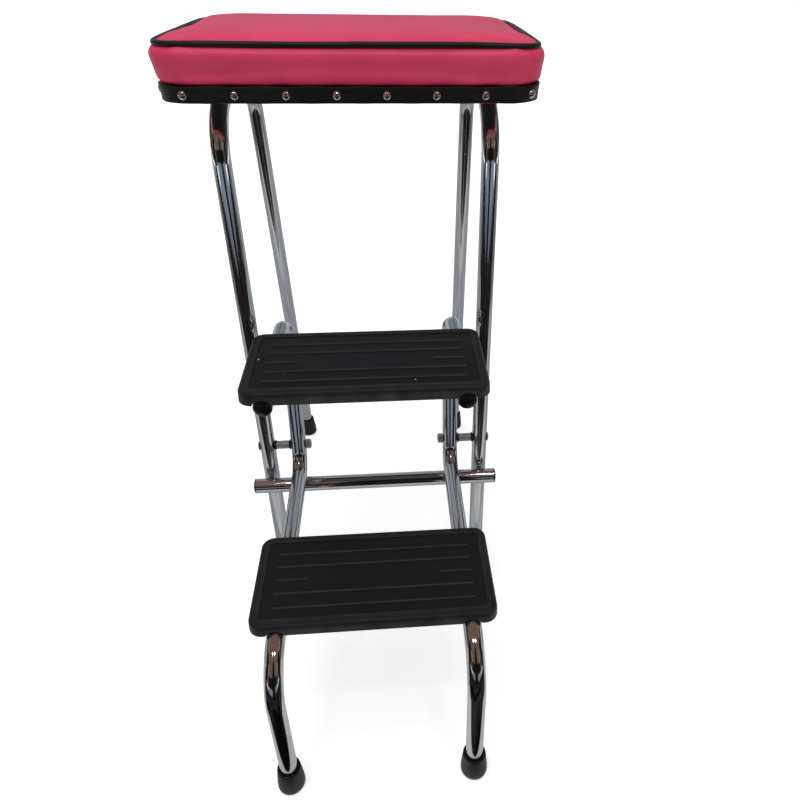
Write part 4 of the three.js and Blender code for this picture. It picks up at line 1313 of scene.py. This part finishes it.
piping_around = outline_length(PIPING_HALF_X, PIPING_HALF_Y, PIPING_CORNER)
piping_line = []
for i in range(PIPING_STEPS):
    distance = piping_around * i / PIPING_STEPS
    spot, _ = outline_spot(PIPING_HALF_X, PIPING_HALF_Y, PIPING_CORNER, distance)
    short, long = (math.sin(distance / length) for length in WANDER_LENGTHS)
    x, y = bowed(spot.x, spot.y, PIPING_HALF_X, PIPING_HALF_Y)
    z = CUSHION_BASE + sunk(spot.x, spot.y, SEAM_HEIGHT) + PIPING_WANDER * short * long
    piping_line.append(Vector((x, y + SEAT_MIDDLE_Y, z)))
piping = grown(
    sweep, line_mesh([piping_line], closed=True),
    Radius=PIPING_RADIUS, Sides=PIPING_SIDES, Material=black_vinyl,
)
finish_piece("seat_welt", piping, black_vinyl, "frame", ["seat_piping"], NO_CREASE)

# %% [markdown]
# What is left of the CAD model has the right shape already: screws, rivets, plates and the seat
# board. Each takes the material of its slot.

# %% Materials for the CAD nodes that stay
SLOT_MATERIALS = {
    "chrome": chrome,
    "zinc": zinc,
    "black_plastic": plastic,
    "black_rubber": foot_rubber,
    "tread_rubber": tread_rubber,
    "black_vinyl": black_vinyl,
    "pink_vinyl": pink_vinyl,
    "plywood": plywood,
    "steel_sheet": rolled_steel,
}
slot_of = {s["node"]: s["material_slot"] for s in frame["record"]["subparts"]}
for name, node in frame["nodes"].items():
    node.data.materials.clear()
    node.data.materials.append(SLOT_MATERIALS[slot_of[name]])
    node.data.set_sharp_from_angle(angle=CREASE)

# %% [markdown]
# The studio is a pale floor in soft white light. Chrome shows whatever lies round it, so flat
# cards lay out the photograph's room: a dark floor in front with paler ground under the stool, a
# brown ceiling, blue doors and window, grey walls and the dark figure behind the camera. They are
# hidden from the camera and from diffuse light, so that only gloss sees them. Two small ceiling
# spots put a spark on the bends, and the broad lamp overhead is kept out of the chrome.

# %% The studio
FLOOR = "#EDEDED"
FLOOR_HALF = 9
# The floor glows for the eye: a distance from the stool in metres, and the strength there.
GLOW_NEAR = (0.5, 0.5)
GLOW_FAR = (2.5, 0.8)
SKY_LIGHT = 0.62
CLUTTER_MM = 180
CLUTTER_EDGE = (0.42, 0.66)
# Each card's name, its two colours, its middle, and its two half sides.
CARDS = [
    ("card_room_floor", "#0B0A0A", "#3E3938", (0, -1.36, 0.004), (4, 0, 0), (0, 1.015, 0)),
    ("card_door_floor", "#545B66", "#9AA4B2", (0, -3.38, 0.004), (4, 0, 0), (0, 1, 0)),
    ("card_side_floor_left", "#5C5A59", "#8E8D8C", (-2.65, 0.15, 0.004), (1.4, 0, 0), (0, 0.52, 0)),
    ("card_side_floor_right", "#5C5A59", "#8E8D8C", (2.65, 0.15, 0.004), (1.4, 0, 0), (0, 0.52, 0)),
    ("card_floor_front", "#BDBBBA", "#DCDAD8", (0, -0.247, 0.005), (1.25, 0, 0), (0, 0.098, 0)),
    ("card_floor", "#94979B", "#B4B7BA", (0, 0.26, 0.004), (1.25, 0, 0), (0, 0.41, 0)),
    ("card_far_floor", "#989CA1", "#BCC0C5", (0, 2.7, 0.004), (4, 0, 0), (0, 2.03, 0)),
    ("card_operator", "#0E0C0D", "#2C2829", (0.05, -1.0, 0.75), (0.2, 0, 0), (0, 0, 0.75)),
    ("card_room", "#0E0C0C", "#2E2A28", (0, -4.2, 1.25), (4, 0, 0), (0, 0, 1.25)),
    ("card_doors", "#6B7789", "#B4BFCE", (0, -4.0, 0.38), (3.9, 0, 0), (0, 0, 0.36)),
    ("card_ceiling", "#6B5146", "#8C7266", (0, -1.4, 2.5), (3.6, 0, 0), (0, 2.8, 0)),
    ("card_back_ceiling", "#8B8F96", "#B2B6BC", (0, 2.5, 2.5), (3.6, 0, 0), (0, 1.1, 0)),
    ("card_back_wall", "#7C8088", "#9CA1A9", (0, 3.6, 1.7), (4, 0, 0), (0, 0, 0.8)),
    ("card_back_low", "#B4B8BE", "#D6D9DD", (0, 3.7, 0.45), (4, 0, 0), (0, 0, 0.45)),
    ("card_wall_left", "#4A3B34", "#6E5A50", (-3.8, -0.3, 1.4), (0, 3.9, 0), (0, 0, 1.1)),
    ("card_wall_right", "#4A3B34", "#6E5A50", (3.8, -0.3, 1.4), (0, 3.9, 0), (0, 0, 1.1)),
    ("card_window", "#8FA6CC", "#C3D0E6", (0.1, -2.0, 1.7), (0.35, 0, 0), (0, 0, 0.14)),
    ("card_left", "#141214", "#2A2628", (-2.4, -0.9, 1.0), (0, 0.5, 0), (0, 0, 1.0)),
    ("card_right", "#141214", "#2A2628", (2.4, -0.8, 1.0), (0, 0.5, 0), (0, 0, 1.0)),
]
# Each lamp's place, its target, its width in metres and its power in watts.
LAMPS = {
    "overhead": ((-0.3, 0.0, 2.2), (0, 0.1, 0.4), 1.1, 12),
    "ceiling_spot_left": ((-0.45, -0.9, 2.4), (0, 0, 0.4), 0.14, 2.2),
    "ceiling_spot_right": ((0.5, -0.9, 2.4), (0, 0, 0.4), 0.14, 2.2),
}


def rectangle(name, centre, half_u, half_v, material):
    """A flat card round a centre, from two half sides given as vectors."""
    u, v, c = Vector(half_u), Vector(half_v), Vector(centre)
    card = linked(name, mesh_from([c - u - v, c + u - v, c + u + v, c - u + v], [(0, 1, 2, 3)]))
    card.data.materials.append(material)
    return card


def seen(tree):
    """1 for what camera, mirrors and glass see, and 0 for the light on the object."""
    ray = add(tree, "ShaderNodeLightPath").outputs
    direct = add(
        tree, "ShaderNodeMath", {0: ray["Is Camera Ray"], 1: ray["Is Glossy Ray"]}, operation="MAXIMUM"
    ).outputs[0]
    through = ray["Is Transmission Ray"]
    return add(tree, "ShaderNodeMath", {0: direct, 1: through}, operation="MAXIMUM").outputs[0]


floor_paint, tree, shader, place = new_material(
    "floor_paint", Base_Color=colour(FLOOR), Roughness=1.0, Specular_IOR_Level=0.0, Emission_Color=WHITE
)
distance = add(tree, "ShaderNodeVectorMath", {0: place}, operation="LENGTH")
glow = add(
    tree, "ShaderNodeMapRange",
    {
        "Value": distance.outputs["Value"], "From Min": GLOW_NEAR[0], "From Max": GLOW_FAR[0],
        "To Min": GLOW_NEAR[1], "To Max": GLOW_FAR[1],
    },
).outputs["Result"]
shown = add(tree, "ShaderNodeMath", {0: seen(tree), 1: glow}, operation="MULTIPLY")
feed(tree, shader, Emission_Strength=shown.outputs[0])
rectangle("floor", (0, 0, 0), (FLOOR_HALF, 0, 0), (0, FLOOR_HALF, 0), floor_paint)

for name, dark, pale, centre, half_u, half_v in CARDS:
    card_paint, tree, shader, place = new_material(
        name, Base_Color=BLACK, Roughness=1.0, Specular_IOR_Level=0.0, Emission_Strength=1.0
    )
    clutter = add(
        tree, "ShaderNodeTexNoise", {"Vector": place, "Scale": per_metre(CLUTTER_MM), "Detail": 5}
    ).outputs["Fac"]
    shades = (colour(dark), colour(pale))
    tone = add(tree, "ShaderNodeValToRGB", {"Fac": clutter}, zip(CLUTTER_EDGE, shades))
    feed(tree, shader, Emission_Color=tone.outputs["Color"])
    card = rectangle(name, centre, half_u, half_v, card_paint)
    card.visible_camera = card.visible_diffuse = card.visible_shadow = False

for name, (place, target, width, watts) in LAMPS.items():
    light = bpy.data.lights.new(name, "AREA")
    light.shape, light.size, light.energy = "DISK", width, watts
    lamp = linked(name, light)
    lamp.location = place
    lamp.rotation_euler = (Vector(target) - Vector(place)).to_track_quat("-Z", "Y").to_euler()
    lamp.visible_glossy = name != "overhead"

world = bpy.data.worlds.new("studio")
scene.world = world
world.use_nodes = True
tree = world.node_tree
tree.nodes.clear()
level = add(tree, "ShaderNodeMapRange", {"Value": seen(tree), "To Min": SKY_LIGHT, "To Max": 1.0})
sky = add(tree, "ShaderNodeBackground", {"Color": WHITE, "Strength": level.outputs["Result"]})
add(tree, "ShaderNodeOutputWorld", {"Surface": sky.outputs["Background"]})
scene.view_settings.view_transform = "Standard"
